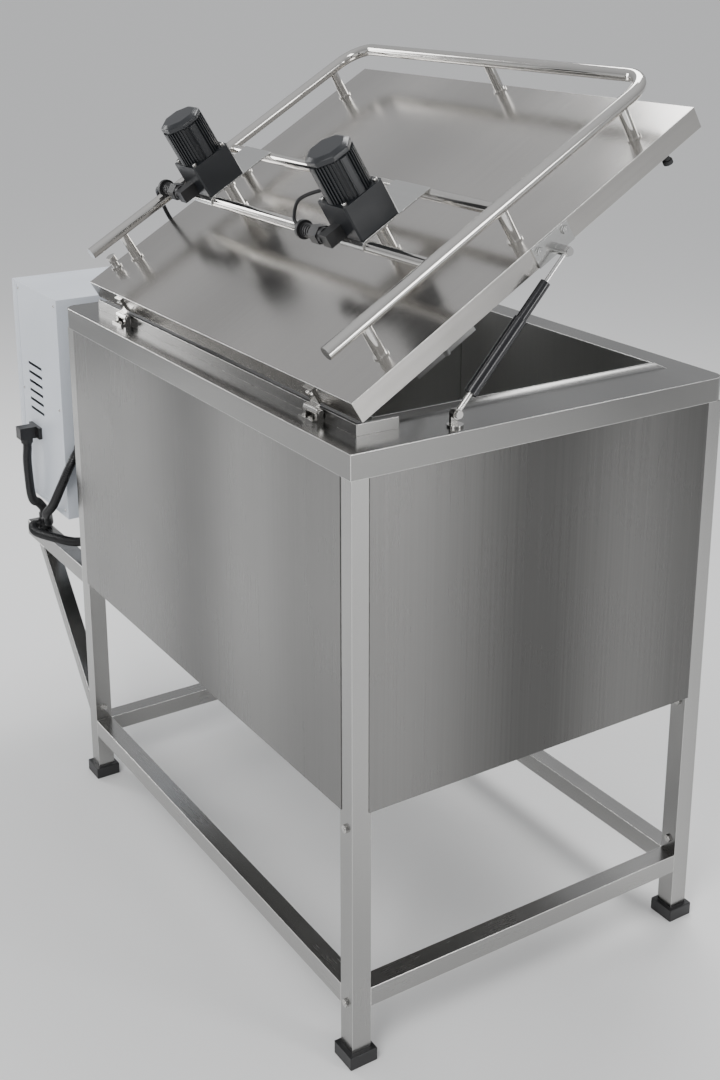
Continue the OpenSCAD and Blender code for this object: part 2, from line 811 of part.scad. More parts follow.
// Open-ended tube round a middle line of straight runs
module hollow_tube(c, d, wall, sides) {
    s = sides_along(c);
    pts = [for (r = [d / 2, d / 2 - wall], i = [0 : len(c) - 1], k = [0 : sides - 1])
        let (t = heading(c, i), b = cross(t, s[i]), a = 360 * k / sides)
        c[i] + r * (cos(a) * s[i] + sin(a) * b)];
    ring = len(c) * sides;
    last = (len(c) - 1) * sides;
    runs = [for (i = [0 : len(c) - 2], k = [0 : sides - 1])
        [i * sides + k, (i + 1) * sides + k, (i + 1) * sides + (k + 1) % sides, i * sides + (k + 1) % sides]];
    ends = [for (k = [0 : sides - 1]) let (n = (k + 1) % sides) each [
        [k, n, ring + n, ring + k],
        [last + n, last + k, ring + last + k, ring + last + n]]];
    polyhedron(pts, concat(runs, [for (f = runs) [f[3] + ring, f[2] + ring, f[1] + ring, f[0] + ring]], ends));
}

module motor_leads() {
    near_start = [drive_u[0] + gland_u + gland_l, -gland_v, gland_t];
    far_start = [drive_u[1] + gland_u + gland_l, -gland_v, gland_t];
    near_end = near_cap + [lead_cap_l, 0, 0];
    far_end = far_cap + [lead_cap_l, 0, 0];
    rail_u = lid_l - rail_in;
    over = lid_t + rail_t + rail_r + far_lead_d / 2 + 3;
    near_route = [near_start, near_start + [5, 0, 0], near_start + [14, 0, 4], near_start + [22, -6, 20], near_start + [8, -26, 46],
        near_end + [30, -2, 8], near_end + [8, 0, 0], near_end];
    far_route = [far_start, far_start + [2, 0, 0], [rail_u - 6, -gland_v, over], [rail_u + 8, -gland_v, over], [lid_l - 8, -gland_v, over - 16],
        [lid_l + 12, -gland_v, lid_t + 24], far_end + [11, 0, 22], far_end + [9, 0, 5], far_end + [5, 0, 0],
        far_end];
    color(black) on_lid() {
        swept_tube(near_route, near_lead_d, 10, 5);
        swept_tube(far_route, far_lead_d, 10, 5);
    }
}

// ---------- shaft sleeves and agitators ----------

module shaft_sleeves() {
    h = cross_t + cross_d / 2 + 0.2;
    bore = shaft_d / 2 + pin_play;
    color(polished) on_lid() for (u = drive_u) translate([u, -shaft_v, lid_t]) difference() {
        union() {
            cylinder(d = 34, h = 4);
            cylinder(d = 24, h = h);
            translate([0, 0, h - 22]) cylinder(d = 30, h = 14);
        }
        translate([0, 0, -1]) cylinder(r = bore, h = h + 2);
    }
}

module agitator(u) {
    h = drive_base + shaft_in;
    blade_w = 75;
    color(polished) on_lid() translate([u, -shaft_v, 0]) {
        difference() {
            translate([0, 0, -agitator_reach]) cylinder(d = shaft_d, h = agitator_reach + h);
            translate([-1.5, -shaft_d, -agitator_reach - 1]) cube([3, 2 * shaft_d, 66]);
        }
        translate([-1.5, -blade_w, -agitator_reach]) cube([3, 2 * blade_w, 65]);
    }
}

module agitator_near() agitator(drive_u[0]);
module agitator_far() agitator(drive_u[1]);

// ---------- gas struts ----------

// Where the near strut's eye lies: side is -1 for the near strut and 1 for the far one
eye_in = eye_w / 2;
lug_w = 6;

module at_struts() {
    for (i = [0, 1]) translate([strut_x[i], 0, 0]) mirror([i, 0, 0]) children();
}

// Lower brackets: disc, lug and pivot screw, with the eye on the outer side
module strut_feet() {
    color(polished) place() at_struts() translate([0, strut_y, 0]) {
        translate([3, 0, rim_h]) cylinder(r = 14, h = 4);
        box(eye_in + 0.3, eye_in + 0.3 + lug_w, -7, 7, rim_h + 3, strut_z);
        translate([0, 0, strut_z]) {
            rod_x(7, eye_in + 0.3, eye_in + 0.3 + lug_w);
            rod_x(strut_pin_r, -eye_in - 1, eye_in + 1);
            rod_x(7, -eye_in - 5, -eye_in - 0.3);
        }
    }
}

module along_strut() {
    translate([0, strut_y, strut_z]) rotate([90 - strut_angle, 0, 0]) children();
}

module strut_tube() {
    color(black) along_strut() difference() {
        union() {
            rod_x(eye_r, -eye_in, eye_in);
            translate([0, 0, eye_r - 1.2]) cylinder(r = 5, h = stub_l - eye_r + 2);
            translate([0, 0, stub_l]) cylinder(r = sleeve_r, h = sleeve_l);
            translate([0, 0, stub_l + sleeve_l]) cylinder(r = barrel_r, h = barrel_l);
        }
        rod_x(strut_pin_r + pin_play, -eye_in - 1, eye_in + 1);
        translate([0, 0, stub_l + 20]) cylinder(r = barrel_r - 2, h = sleeve_l + barrel_l - 24);
        translate([0, 0, stub_l + sleeve_l]) cylinder(r = rod_r + pin_play, h = barrel_l + 1);
    }
}

module strut_rod() {
    piston_l = 16;
    tail = 90;
    color(polished) along_strut() {
        translate([0, 0, strut_len - eye_r + 2 - tail]) cylinder(r = rod_r, h = tail);
        translate([0, 0, strut_len - eye_r + 2 - tail]) cylinder(r = barrel_r - 2 - 0.08, h = piston_l);
        translate([0, 0, strut_len]) {
            rod_x(eye_r, -eye_in, eye_in);
            rod_x(7, -eye_in - 5, -eye_in);
        }
    }
}

module strut_tube_near() place() translate([strut_x[0], 0, 0]) strut_tube();
module strut_rod_near() place() translate([strut_x[0], 0, 0]) strut_rod();
module strut_tube_far() place() translate([strut_x[1], 0, 0]) mirror([1, 0, 0]) strut_tube();
module strut_rod_far() place() translate([strut_x[1], 0, 0]) mirror([1, 0, 0]) strut_rod();

// Plates on the lid's ends, each with a boss that stops just short of the rod's eye
module strut_plate(out) {
    plate = 4;
    boss = out - plate - eye_in - strut_gap;
    translate([-plate, -strut_pin_v - 36, 1]) cube([plate, 84, lid_t - 2]);
    translate([-plate, -strut_pin_v, strut_pin_t]) rod_x(9, -boss, 0.5);
    for (v = [-25, 36]) translate([-plate, -strut_pin_v + v, lid_t - 13]) rotate([0, -90, 0]) bolt(8);
}

module strut_plates() {
    color(polished) on_lid() {
        strut_plate(strut_out_near);
        translate([lid_l, 0, 0]) mirror([1, 0, 0]) strut_plate(strut_out_far);
    }
}

// ---------- cabinet and its brackets ----------

module bracket_arms() {
    lap = 0.2;
    color(steel) place() difference() {
        for (y = [y_front, y_hinge - tube])
            translate([x_far, y, arm_z]) rotate([0, 90, 0]) square_tube(tube, tube_wall, arm_l);
        box(x_far - 1, x_far + clad_t + lap, -clad_wid / 2 - lap, clad_wid / 2 + lap, clad_z - clad_t - lap, rim_h);
    }
}

// Sloping tubes from each leg to the arm above, cut flat against both
module arm_braces() {
    reach = arm_l - 70;
    drop = 330;
    top = arm_z - tube;
    color(steel) place() for (y = [y_front, y_hinge - tube]) translate([x_far, y + tube, 0])
        rotate([90, 0, 0]) linear_extrude(tube)
            polygon([[0, top - drop], [reach, top], [reach - tube * 0.9, top], [0, top - drop + tube * 1.2]]);
}

module cabinet_rails() {
    w = 40;
    color(steel) place() for (z = [cab_z + 60, cab_top - 160])
        difference() {
            box(x_far + clad_t, cab_x0, y_front + 60, y_hinge - 60, z, z + w);
            box(x_far + clad_t + 2, cab_x0 - 2, y_front + 59, y_hinge - 59, z - 1, z + w - 2);
        }
}

panel_edge = 9;

module cabinet_shell() {
    in = cab_sheet;
    color(white_paint) place() difference() {
        box(cab_x0, cab_x1, y_front, y_hinge, cab_z, cab_top);
        box(cab_x0 + in, cab_x1 + 1, y_front + in, y_hinge - in - 4, cab_z + in, cab_top - in);
        box(cab_x0 + panel_edge, cab_x1 - panel_edge, y_hinge - in - 5, y_hinge + 1,
            cab_z + panel_edge, cab_top - panel_edge);
    }
}

// Removable side sheet with six louvre slots and the cable entry
module louvre_panel() {
    in = cab_sheet;
    play = 0.4;
    slot_w = 85;
    slot_h = 7;
    pitch = 22;
    color(white_paint) place() difference() {
        box(cab_x0 + panel_edge + play, cab_x1 - panel_edge - play, y_hinge - 1 - in, y_hinge - 1,
            cab_z + panel_edge + play, cab_top - panel_edge - play);
        for (i = [0 : 5])
            box(cab_x0 + 119, cab_x0 + 119 + slot_w, y_hinge - 5, y_hinge + 1,
                cab_top - 185 - i * pitch - slot_h, cab_top - 185 - i * pitch);
        translate([wall_gland_x, 0, wall_gland_z]) rod_y(10, y_hinge - 5, y_hinge + 1);
    }
}

// Elbow on the cabinet's side and the entry standing on the bracket arm
module conduit_glands() {
    color(black) place() {
        translate([wall_gland_x, y_hinge - 1, wall_gland_z]) {
            translate([-32, 0, -14]) cube([64, 8, 28]);
            rod_y(9.5, -10, 0.5);
            translate([-15, 7, -14]) cube([30, wall_gland_out - 6, 28]);
            translate([0, gland_mid, -gland_drop]) cylinder(r = 14, h = gland_drop - 13);
        }
        translate([arm_gland_x, y_hinge - tube / 2, arm_z]) {
            cylinder(r = 17, h = 6);
            translate([0, 0, 6]) hex_head(30, 14);
            translate([0, 0, 20]) cylinder(r = 13, h = arm_gland_h - 20);
            translate([0, 0, arm_gland_h - 14]) rod_x(12, -18, 0);
            translate([0, 0, arm_gland_h - 26]) rod_y(12, 0, 17);
        }
    }
}

module conduits() {
    color(black) place() {
        swept_tube(front_route, conduit_d, 10, 4);
        swept_tube(rear_route, conduit_d, 10, 4);
        swept_tube(link_route, conduit_d, 10, 4);
    }
}

// Hermetic compressor on its three rubber feet
module compressor() {
    r = 75;
    color(black) place() translate([cab_x0 + cab_l / 2 - 10, 190, cab_z + cab_sheet]) {
        translate([0, 0, 18]) cylinder(r = r, h = 120);
        translate([0, 0, 138]) cylinder(r1 = r, r2 = r * 0.6, h = 30);
        for (a = [30, 150, 270]) rotate([0, 0, a]) translate([r - 6, 0, 0]) cylinder(r = 13, h = 19);
    }
}

cond_y = -60;
cond_x = cab_x0 + 70;

// Finned coil with a fan ring on its back
module condenser() {
    h = 300;
    w = 280;
    color(steel) place() translate([cond_x, cond_y, cab_z + cab_sheet]) {
        box(-25, 25, -w / 2, w / 2, 0, h);
        translate([0, 0, h / 2]) difference() {
            rod_x(128, 25, 60);
            rod_x(122, 24, 61);
        }
        translate([0, 0, h / 2]) {
            rod_x(4, 25, 48);
            for (a = [0, 90]) rotate([a, 0, 0]) box(25, 29, -122.5, 122.5, -4, 4);
        }
    }
}

module condenser_fan() {
    h = 300;
    color(black) place() translate([cond_x, cond_y, cab_z + cab_sheet + h / 2]) difference() {
        union() {
            rod_x(22, 30, 56);
            for (a = [0 : 72 : 288]) rotate([a, 0, 0]) translate([43, 0, 62])
                rotate([0, 0, 25]) cube([3, 44, 104], center = true);
        }
        rod_x(4 + pin_play, 29, 49);
    }
}

module control_box() {
    color([0.75, 0.77, 0.8]) place() box(cab_x0 + cab_sheet, cab_x0 + 90, -370, -230, cab_z + 200, cab_top - 60);
}

// ---------- cabinet door ----------
door_gap = 1;

door_axis_x = cab_x1 + 10;
door_axis_y = y_front - hinge_side_out + 7;
knuckle_h = 60;
door_hinge_z = [cab_z + 90, cab_top - 90 - knuckle_h];
door_pin_r = 3;

module cabinet_door() {
    color(white_paint) place() difference() {
        union() {
            difference() {
                box(cab_x1 + door_gap, cab_x1 + door_t, y_front, y_hinge, cab_z, cab_top);
                box(cab_x1 + door_gap - 1, cab_x1 + door_t - 2, y_front + 2, y_hinge - 2, cab_z + 2, cab_top - 2);
            }
            for (z = door_hinge_z) {
                translate([door_axis_x, door_axis_y, z + knuckle_h / 2 + 0.3]) cylinder(r = 7, h = knuckle_h / 2);
                box(door_axis_x - 2, door_axis_x + 2, door_axis_y, y_front + 1,
                    z + knuckle_h / 2 + 0.3, z + knuckle_h + 0.3);
            }
        }
        translate([door_axis_x, door_axis_y, cab_z]) cylinder(r = door_pin_r + pin_play, h = cab_top - cab_z);
        translate([0, y_hinge - 40, (cab_z + cab_top) / 2]) rod_x(8 + pin_play, cab_x1, cab_x1 + door_t + 1);
    }
}

// Lift-off halves on the cabinet with their pins
module door_hinges() {
    color(polished) place() for (z = door_hinge_z) {
        translate([door_axis_x, door_axis_y, z]) {
            cylinder(r = 7, h = knuckle_h / 2);
            cylinder(r = door_pin_r, h = knuckle_h);
        }
        box(cab_x1 - 34, door_axis_x, y_front - 3, y_front, z, z + knuckle_h / 2);
        box(door_axis_x - 2, door_axis_x + 2, door_axis_y, y_front - 0.5, z, z + knuckle_h / 2);
    }
}

module door_lock() {
    color(dark_steel) place() translate([0, y_hinge - 40, (cab_z + cab_top) / 2]) {
        rod_x(8, cab_x1 + 4, cab_x1 + door_t + 2);
        translate([cab_x1 + door_t + 0.5, -6, -30]) cube([lock_l - 0.5, 12, 60]);
    }
}

legs();
long_stretchers();
short_stretchers();
feet();
vessel();
insulation();
rim();
panel_hinge_side();
panel_front();
panel_near_end();
panel_far_end();
bottom_pan();
frame_bolts();
hinge_strip();
hinge_bases();
hinge_pins();
strut_feet();
outlet_pipe();
valve_body();
valve_lever();
bracket_arms();
arm_braces();
cabinet_rails();
cabinet_shell();
louvre_panel();
conduit_glands();
conduits();
compressor();
condenser();
condenser_fan();
control_box();
cabinet_door();
door_hinges();
door_lock();
lid_shell();
lid_liner();
lid_foam();
lid_seal();
lid_rail();
rail_posts();
cross_tubes();
motor_plates();
gearbox_near();
gearbox_far();
motor_near();
motor_far();
fan_covers();
lead_glands();
motor_leads();
shaft_sleeves();
hinge_leaves();
strut_plates();
lid_bumpers();
lid_vent();
agitator_near();
agitator_far();
strut_tube_near();
strut_rod_near();
strut_tube_far();
strut_rod_far();
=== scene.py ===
"""Looks for the bulk milk tank: finishes, softened metal edges, repeated details, light and camera."""

import json
import logging
import math
from dataclasses import dataclass, field
from enum import Enum
from typing import Iterable, Sequence

import bmesh
import bpy
from mathutils import Matrix, Vector
from mathutils.bvhtree import BVHTree


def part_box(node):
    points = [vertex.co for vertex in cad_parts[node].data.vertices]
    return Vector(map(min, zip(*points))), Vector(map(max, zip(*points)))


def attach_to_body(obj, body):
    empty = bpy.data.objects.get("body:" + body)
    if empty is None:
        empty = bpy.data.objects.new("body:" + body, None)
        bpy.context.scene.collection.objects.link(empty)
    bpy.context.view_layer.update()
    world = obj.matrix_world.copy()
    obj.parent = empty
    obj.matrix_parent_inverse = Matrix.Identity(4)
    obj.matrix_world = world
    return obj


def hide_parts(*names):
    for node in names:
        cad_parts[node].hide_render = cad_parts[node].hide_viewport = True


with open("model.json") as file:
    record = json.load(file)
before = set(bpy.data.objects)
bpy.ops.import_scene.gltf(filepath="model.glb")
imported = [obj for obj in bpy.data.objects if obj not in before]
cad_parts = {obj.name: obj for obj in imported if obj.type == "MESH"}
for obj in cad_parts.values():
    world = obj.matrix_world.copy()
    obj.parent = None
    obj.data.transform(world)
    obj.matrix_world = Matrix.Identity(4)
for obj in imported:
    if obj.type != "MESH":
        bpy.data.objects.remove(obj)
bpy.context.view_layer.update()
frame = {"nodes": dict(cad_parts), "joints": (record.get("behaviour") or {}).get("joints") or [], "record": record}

LOG = logging.getLogger("milk_tank")
MM = 0.001
NODES: dict[str, bpy.types.Object] = frame["nodes"]
RECORD: dict = frame["record"]
BODY_OF: dict[str, str] = {n: b for b, names in RECORD["behaviour"]["bodies"].items() for n in names}
SLOT_OF: dict[str, str] = {s["node"]: s["material_slot"] for s in RECORD["subparts"]}

Colour = tuple[float, float, float]
Point = tuple[float, float, float]


class Grain(Enum):
    """Direction in which a metal sheet or tube was brushed."""

    ALONG_X = (3.0, 420.0, 420.0)
    ALONG_Y = (420.0, 3.0, 420.0)
    ALONG_Z = (420.0, 420.0, 3.0)


# ---------------------------------------------------------------------------
# Shader building
# ---------------------------------------------------------------------------


class ShaderGraph:
    """A material's or group's node tree with short helpers for adding and linking nodes."""

    def __init__(self, tree: bpy.types.NodeTree) -> None:
        """Wraps a node tree.

        Args:
            tree: The tree that the nodes go into.
        """
        self.tree = tree

    def add(self, kind: str, **settings: object) -> bpy.types.Node:
        """Adds one node.

        Args:
            kind: Blender's node type name.
            **settings: Attributes of the node, set by name.

        Returns:
            The new node.
        """
        node = self.tree.nodes.new(kind)
        for key, value in settings.items():
            setattr(node, key, value)
        return node

    def link(self, start: bpy.types.NodeSocket, end: bpy.types.NodeSocket) -> None:
        """Joins an output to an input.

        Args:
            start: Output socket.
            end: Input socket.
        """
        self.tree.links.new(start, end)

    def noise(self, vector: bpy.types.NodeSocket, scale: float, detail: float = 2.0) -> bpy.types.NodeSocket:
        """Adds a noise texture and returns its value output.

        Args:
            vector: Coordinates to read.
            scale: Features in a metre.
            detail: Octaves.

        Returns:
            The noise's Fac output.
        """
        node = self.add("ShaderNodeTexNoise")
        node.inputs["Scale"].default_value = scale
        node.inputs["Detail"].default_value = detail
        self.link(vector, node.inputs["Vector"])
        return node.outputs["Fac"]

    def scaled(self, vector: bpy.types.NodeSocket, factor: bpy.types.NodeSocket) -> bpy.types.NodeSocket:
        """Multiplies a vector by a number.

        Args:
            vector: The vector.
            factor: The number.

        Returns:
            The longer or shorter vector.
        """
        node = self.add("ShaderNodeVectorMath", operation="SCALE")
        self.link(vector, node.inputs[0])
        self.link(factor, node.inputs["Scale"])
        return node.outputs[0]

    def remap(self, value: bpy.types.NodeSocket, low: float, high: float, start: float = 0.3,
              end: float = 0.7) -> bpy.types.NodeSocket:
        """Maps a value from start..end to low..high.

        Args:
            value: The value to map.
            low: Result at the start.
            high: Result at the end.
            start: Value that gives the low result.
            end: Value that gives the high result.

        Returns:
            The mapped output.
        """
        node = self.add("ShaderNodeMapRange")
        for name, number in (("From Min", start), ("From Max", end), ("To Min", low), ("To Max", high)):
            node.inputs[name].default_value = number
        self.link(value, node.inputs["Value"])
        return node.outputs["Result"]

    def blend(self, factor: bpy.types.NodeSocket, dark: Colour, light: Colour) -> bpy.types.NodeSocket:
        """Mixes two colours by a factor.

        Args:
            factor: 0 for dark, 1 for light.
            dark: First colour.
            light: Second colour.

        Returns:
            The mixed colour output.
        """
        node = self.add("ShaderNodeMix", data_type="RGBA")
        node.inputs[6].default_value = (*dark, 1.0)
        node.inputs[7].default_value = (*light, 1.0)
        self.link(factor, node.inputs[0])
        return node.outputs[2]


def group_tree(name: str, inputs: Sequence[tuple[str, str, object]],
               outputs: Sequence[tuple[str, str]]) -> tuple[ShaderGraph, bpy.types.Node, bpy.types.Node]:
    """Makes an empty shader group with named sockets.

    Args:
        name: The group's name.
        inputs: Name, socket type and default of each input.
        outputs: Name and socket type of each output.

    Returns:
        The graph, its input node and its output node.
    """
    tree = bpy.data.node_groups.new(name, "ShaderNodeTree")
    for label, kind, default in inputs:
        socket = tree.interface.new_socket(label, in_out="INPUT", socket_type=kind)
        if default is not None:
            socket.default_value = default
    for label, kind in outputs:
        tree.interface.new_socket(label, in_out="OUTPUT", socket_type=kind)
    graph = ShaderGraph(tree)
    return graph, graph.add("NodeGroupInput"), graph.add("NodeGroupOutput")


class SharedEffects:
    """Shader groups that more than one finish uses, each built once."""

    def __init__(self) -> None:
        """Builds the brushed grain and painted reflection group, the handling marks and the fine texture groups."""
        self.brushed = self._brushed()
        self.marks = self._marks()
        self.texture = self._texture()

    def _brushed(self) -> bpy.types.NodeTree:
        """Fine scratches in one direction, soft streaks along them and broad painted reflection bands, lighter and
        darker stripes in the colour that stand in for reflections.

        Returns:
            The group.
        """
        graph, start, end = group_tree(
            "brushed_grain_and_painted_reflection",
            [("Vector", "NodeSocketVector", None), ("Stretch", "NodeSocketVector", (3.0, 420.0, 420.0)),
             ("Broad", "NodeSocketFloat", 0.45), ("Roll", "NodeSocketFloat", 0.006)],
            [("Height", "NodeSocketFloat"), ("Streak", "NodeSocketFloat"), ("PaintedReflectionBand", "NodeSocketFloat")])
        fine = graph.add("ShaderNodeVectorMath", operation="MULTIPLY")
        graph.link(start.outputs["Vector"], fine.inputs[0])
        graph.link(start.outputs["Stretch"], fine.inputs[1])
        graph.link(graph.noise(fine.outputs[0], 1.0, 3.0), end.inputs["Height"])
        broad = graph.scaled(fine.outputs[0], start.outputs["Broad"])
        graph.link(graph.noise(broad, 1.0, 2.0), end.inputs["Streak"])
        painted_reflection_scale = graph.scaled(fine.outputs[0], start.outputs["Roll"])
        graph.link(graph.noise(painted_reflection_scale, 1.0, 0.0), end.inputs["PaintedReflectionBand"])
        return graph.tree

    def _marks(self) -> bpy.types.NodeTree:
        """Cloudy handling marks and sparse spots, for roughness.

        Returns:
            The group.
        """
        graph, start, end = group_tree(
            "handling_marks",
            [("Vector", "NodeSocketVector", None), ("Scale", "NodeSocketFloat", 6.0)],
            [("Cloud", "NodeSocketFloat"), ("Spots", "NodeSocketFloat")])
        scaled = graph.scaled(start.outputs["Vector"], start.outputs["Scale"])
        graph.link(graph.noise(scaled, 1.0, 4.0), end.inputs["Cloud"])
        spots = graph.remap(graph.noise(scaled, 9.0, 1.0), 0.0, 1.0, 0.66, 0.78)
        graph.link(spots, end.inputs["Spots"])
        return graph.tree

    def _texture(self) -> bpy.types.NodeTree:
        """Small bumps of a moulded or sprayed surface.

        Returns:
            The group.
        """
        graph, start, end = group_tree(
            "fine_texture",
            [("Vector", "NodeSocketVector", None), ("Scale", "NodeSocketFloat", 700.0)],
            [("Height", "NodeSocketFloat")])
        scaled = graph.scaled(start.outputs["Vector"], start.outputs["Scale"])
        graph.link(graph.noise(scaled, 1.0, 3.0), end.inputs["Height"])
        return graph.tree


class MaterialDraft:
    """A new material with its shader, coordinates and shared groups at hand."""

    def __init__(self, name: str) -> None:
        """Makes the material and clears its default nodes.

        Args:
            name: The material's name.
        """
        self.material = bpy.data.materials.new(name)
        self.material.use_nodes = True
        self.graph = ShaderGraph(self.material.node_tree)
        self.shader = self.material.node_tree.nodes["Principled BSDF"]
        self.place = self.graph.add("ShaderNodeTexCoord").outputs["Object"]

    def turn(self, angle: float, shift: Point = (0.0, 0.0, 0.0)) -> None:
        """Turns the pattern about X, so that it follows a leaning piece, and shifts it, which also moves where the
        painted reflection bands fall.

        Args:
            angle: Turn in radians.
            shift: Shift in metres.
        """
        node = self.graph.add("ShaderNodeMapping")
        node.inputs["Rotation"].default_value = (angle, 0.0, 0.0)
        node.inputs["Location"].default_value = shift
        self.graph.link(self.place, node.inputs["Vector"])
        self.place = node.outputs["Vector"]

    def group(self, tree: bpy.types.NodeTree, **values: object) -> bpy.types.Node:
        """Places a shared group and feeds it the piece's coordinates.

        Args:
            tree: The group's tree.
            **values: Input values by socket name.

        Returns:
            The group node.
        """
        node = self.graph.add("ShaderNodeGroup", node_tree=tree)
        self.graph.link(self.place, node.inputs["Vector"])
        for key, value in values.items():
            node.inputs[key].default_value = value
        return node

    def base(self, metallic: float, coat: float = 0.0, ior: float = 1.5) -> None:
        """Sets the shader's constant sockets.

        Args:
            metallic: 0 or 1.
            coat: Weight of the clear coat.
            ior: Index of refraction.
        """
        self.shader.inputs["Metallic"].default_value = metallic
        self.shader.inputs["Coat Weight"].default_value = coat
        self.shader.inputs["IOR"].default_value = ior

    def feed(self, output: bpy.types.NodeSocket, socket: str) -> None:
        """Feeds an output to one of the shader's inputs.

        Args:
            output: The output socket.
            socket: The input's name.
        """
        self.graph.link(output, self.shader.inputs[socket])

    def bump(self, height: bpy.types.NodeSocket, strength: float, distance: float) -> None:
        """Feeds a height to the shader's normal.

        Args:
            height: Output socket with the height.
            strength: Strength of the bump.
            distance: Depth of the bump in metres.
        """
        node = self.graph.add("ShaderNodeBump")
        node.inputs["Strength"].default_value = strength
        node.inputs["Distance"].default_value = distance
        self.graph.link(height, node.inputs["Height"])
        self.feed(node.outputs["Normal"], "Normal")


@dataclass(frozen=True)
class BrushedSteel:
    """Stainless sheet or tube with a brushed surface and broad painted reflection bands in its colour."""

    colour: Colour = (0.6, 0.59, 0.57)
    roughness: float = 0.25
    spread: float = 0.015
    grain: Grain = Grain.ALONG_Z
    bump: float = 0.03
    depth: float = 0.0003
    # Amplitude and scale of the broad painted reflection bands in the base colour.
    painted_reflection_band: float = 0.2
    painted_reflection_scale: float = 0.006
    streak: float = 0.04
    marks_scale: float = 5.0
    lean: float = 0.0
    shift: Point = (0.0, 0.0, 0.0)

    def build(self, name: str, effects: SharedEffects) -> bpy.types.Material:
        """Makes the material.

        Args:
            name: Its name.
            effects: The shared groups.

        Returns:
            The material.
        """
        draft = MaterialDraft(name)
        draft.turn(self.lean, self.shift)
        brushed = draft.group(effects.brushed, Stretch=self.grain.value, Roll=self.painted_reflection_scale)
        marks = draft.group(effects.marks, Scale=self.marks_scale)
        draft.base(metallic=1.0)
        # Base colour: a faint grain streak plus broad painted reflection bands, lighter and darker by their
        # amplitude.
        mix = draft.graph.add("ShaderNodeMath", operation="MULTIPLY_ADD")
        mix.inputs[1].default_value = self.streak
        draft.graph.link(draft.graph.remap(brushed.outputs["Streak"], -1.0, 1.0), mix.inputs[0])
        draft.graph.link(draft.graph.remap(brushed.outputs["PaintedReflectionBand"], 0.0, 1.0), mix.inputs[2])
        tone = draft.graph.blend(mix.outputs[0], tuple(c * (1.0 - self.painted_reflection_band) for c in self.colour),
                                 tuple(min(1.0, c * (1.0 + self.painted_reflection_band)) for c in self.colour))
        draft.feed(tone, "Base Color")
        total = draft.graph.add("ShaderNodeMath", operation="ADD")
        draft.graph.link(draft.graph.remap(brushed.outputs["Streak"], self.roughness - self.spread,
                                           self.roughness + self.spread), total.inputs[0])
        draft.graph.link(draft.graph.remap(marks.outputs["Cloud"], -0.02, 0.04), total.inputs[1])
        draft.feed(total.outputs[0], "Roughness")
        draft.bump(brushed.outputs["Height"], self.bump, self.depth)
        return draft.material


@dataclass(frozen=True)
class PolishedSteel:
    """Mirror-polished tube, rod or fixing."""

    colour: Colour = (0.8, 0.79, 0.77)
    roughness: float = 0.09
    spread: float = 0.06
    handled: float = 0.93
    marks_scale: float = 14.0
    texture_scale: float = 240.0
    bump: float = 0.04
    depth: float = 0.0004

    def build(self, name: str, effects: SharedEffects) -> bpy.types.Material:
        """Makes the material.

        Args:
            name: Name of the result.
            effects: The shared shader groups.

        Returns:
            The material.
        """
        draft = MaterialDraft(name)
        marks = draft.group(effects.marks, Scale=self.marks_scale)
        texture = draft.group(effects.texture, Scale=self.texture_scale)
        draft.base(metallic=1.0)
        dull = tuple(c * self.handled for c in self.colour)
        draft.feed(draft.graph.blend(marks.outputs["Cloud"], dull, self.colour), "Base Color")
        draft.feed(draft.graph.remap(marks.outputs["Cloud"], self.roughness, self.roughness + self.spread),
                   "Roughness")
        draft.bump(texture.outputs["Height"], self.bump, self.depth)
        return draft.material


@dataclass(frozen=True)
class Coating:
    """Sprayed paint, powder coat or a moulding, with its own fine texture."""

    colour: Colour = (0.8, 0.82, 0.85)
    roughness: float = 0.4
    texture_scale: float = 500.0
    bump: float = 0.15
    coat: float = 0.0
    wear: float = 0.05
    marks_scale: float = 9.0
    duller: float = 0.08
    shinier: float = 0.05
    depth: float = 0.0005

    def build(self, name: str, effects: SharedEffects) -> bpy.types.Material:
        """Makes the material.

        Args:
            name: Name of the result.
            effects: The shared shader groups.

        Returns:
            The material.
        """
        draft = MaterialDraft(name)
        marks = draft.group(effects.marks, Scale=self.marks_scale)
        texture = draft.group(effects.texture, Scale=self.texture_scale)
        draft.base(metallic=0.0, coat=self.coat)
        light = tuple(min(1.0, c + self.wear) for c in self.colour)
        draft.feed(draft.graph.blend(marks.outputs["Cloud"], self.colour, light), "Base Color")
        draft.feed(draft.graph.remap(marks.outputs["Cloud"], self.roughness - self.shinier,
                                     self.roughness + self.duller), "Roughness")
        draft.bump(texture.outputs["Height"], self.bump, self.depth)
        return draft.material


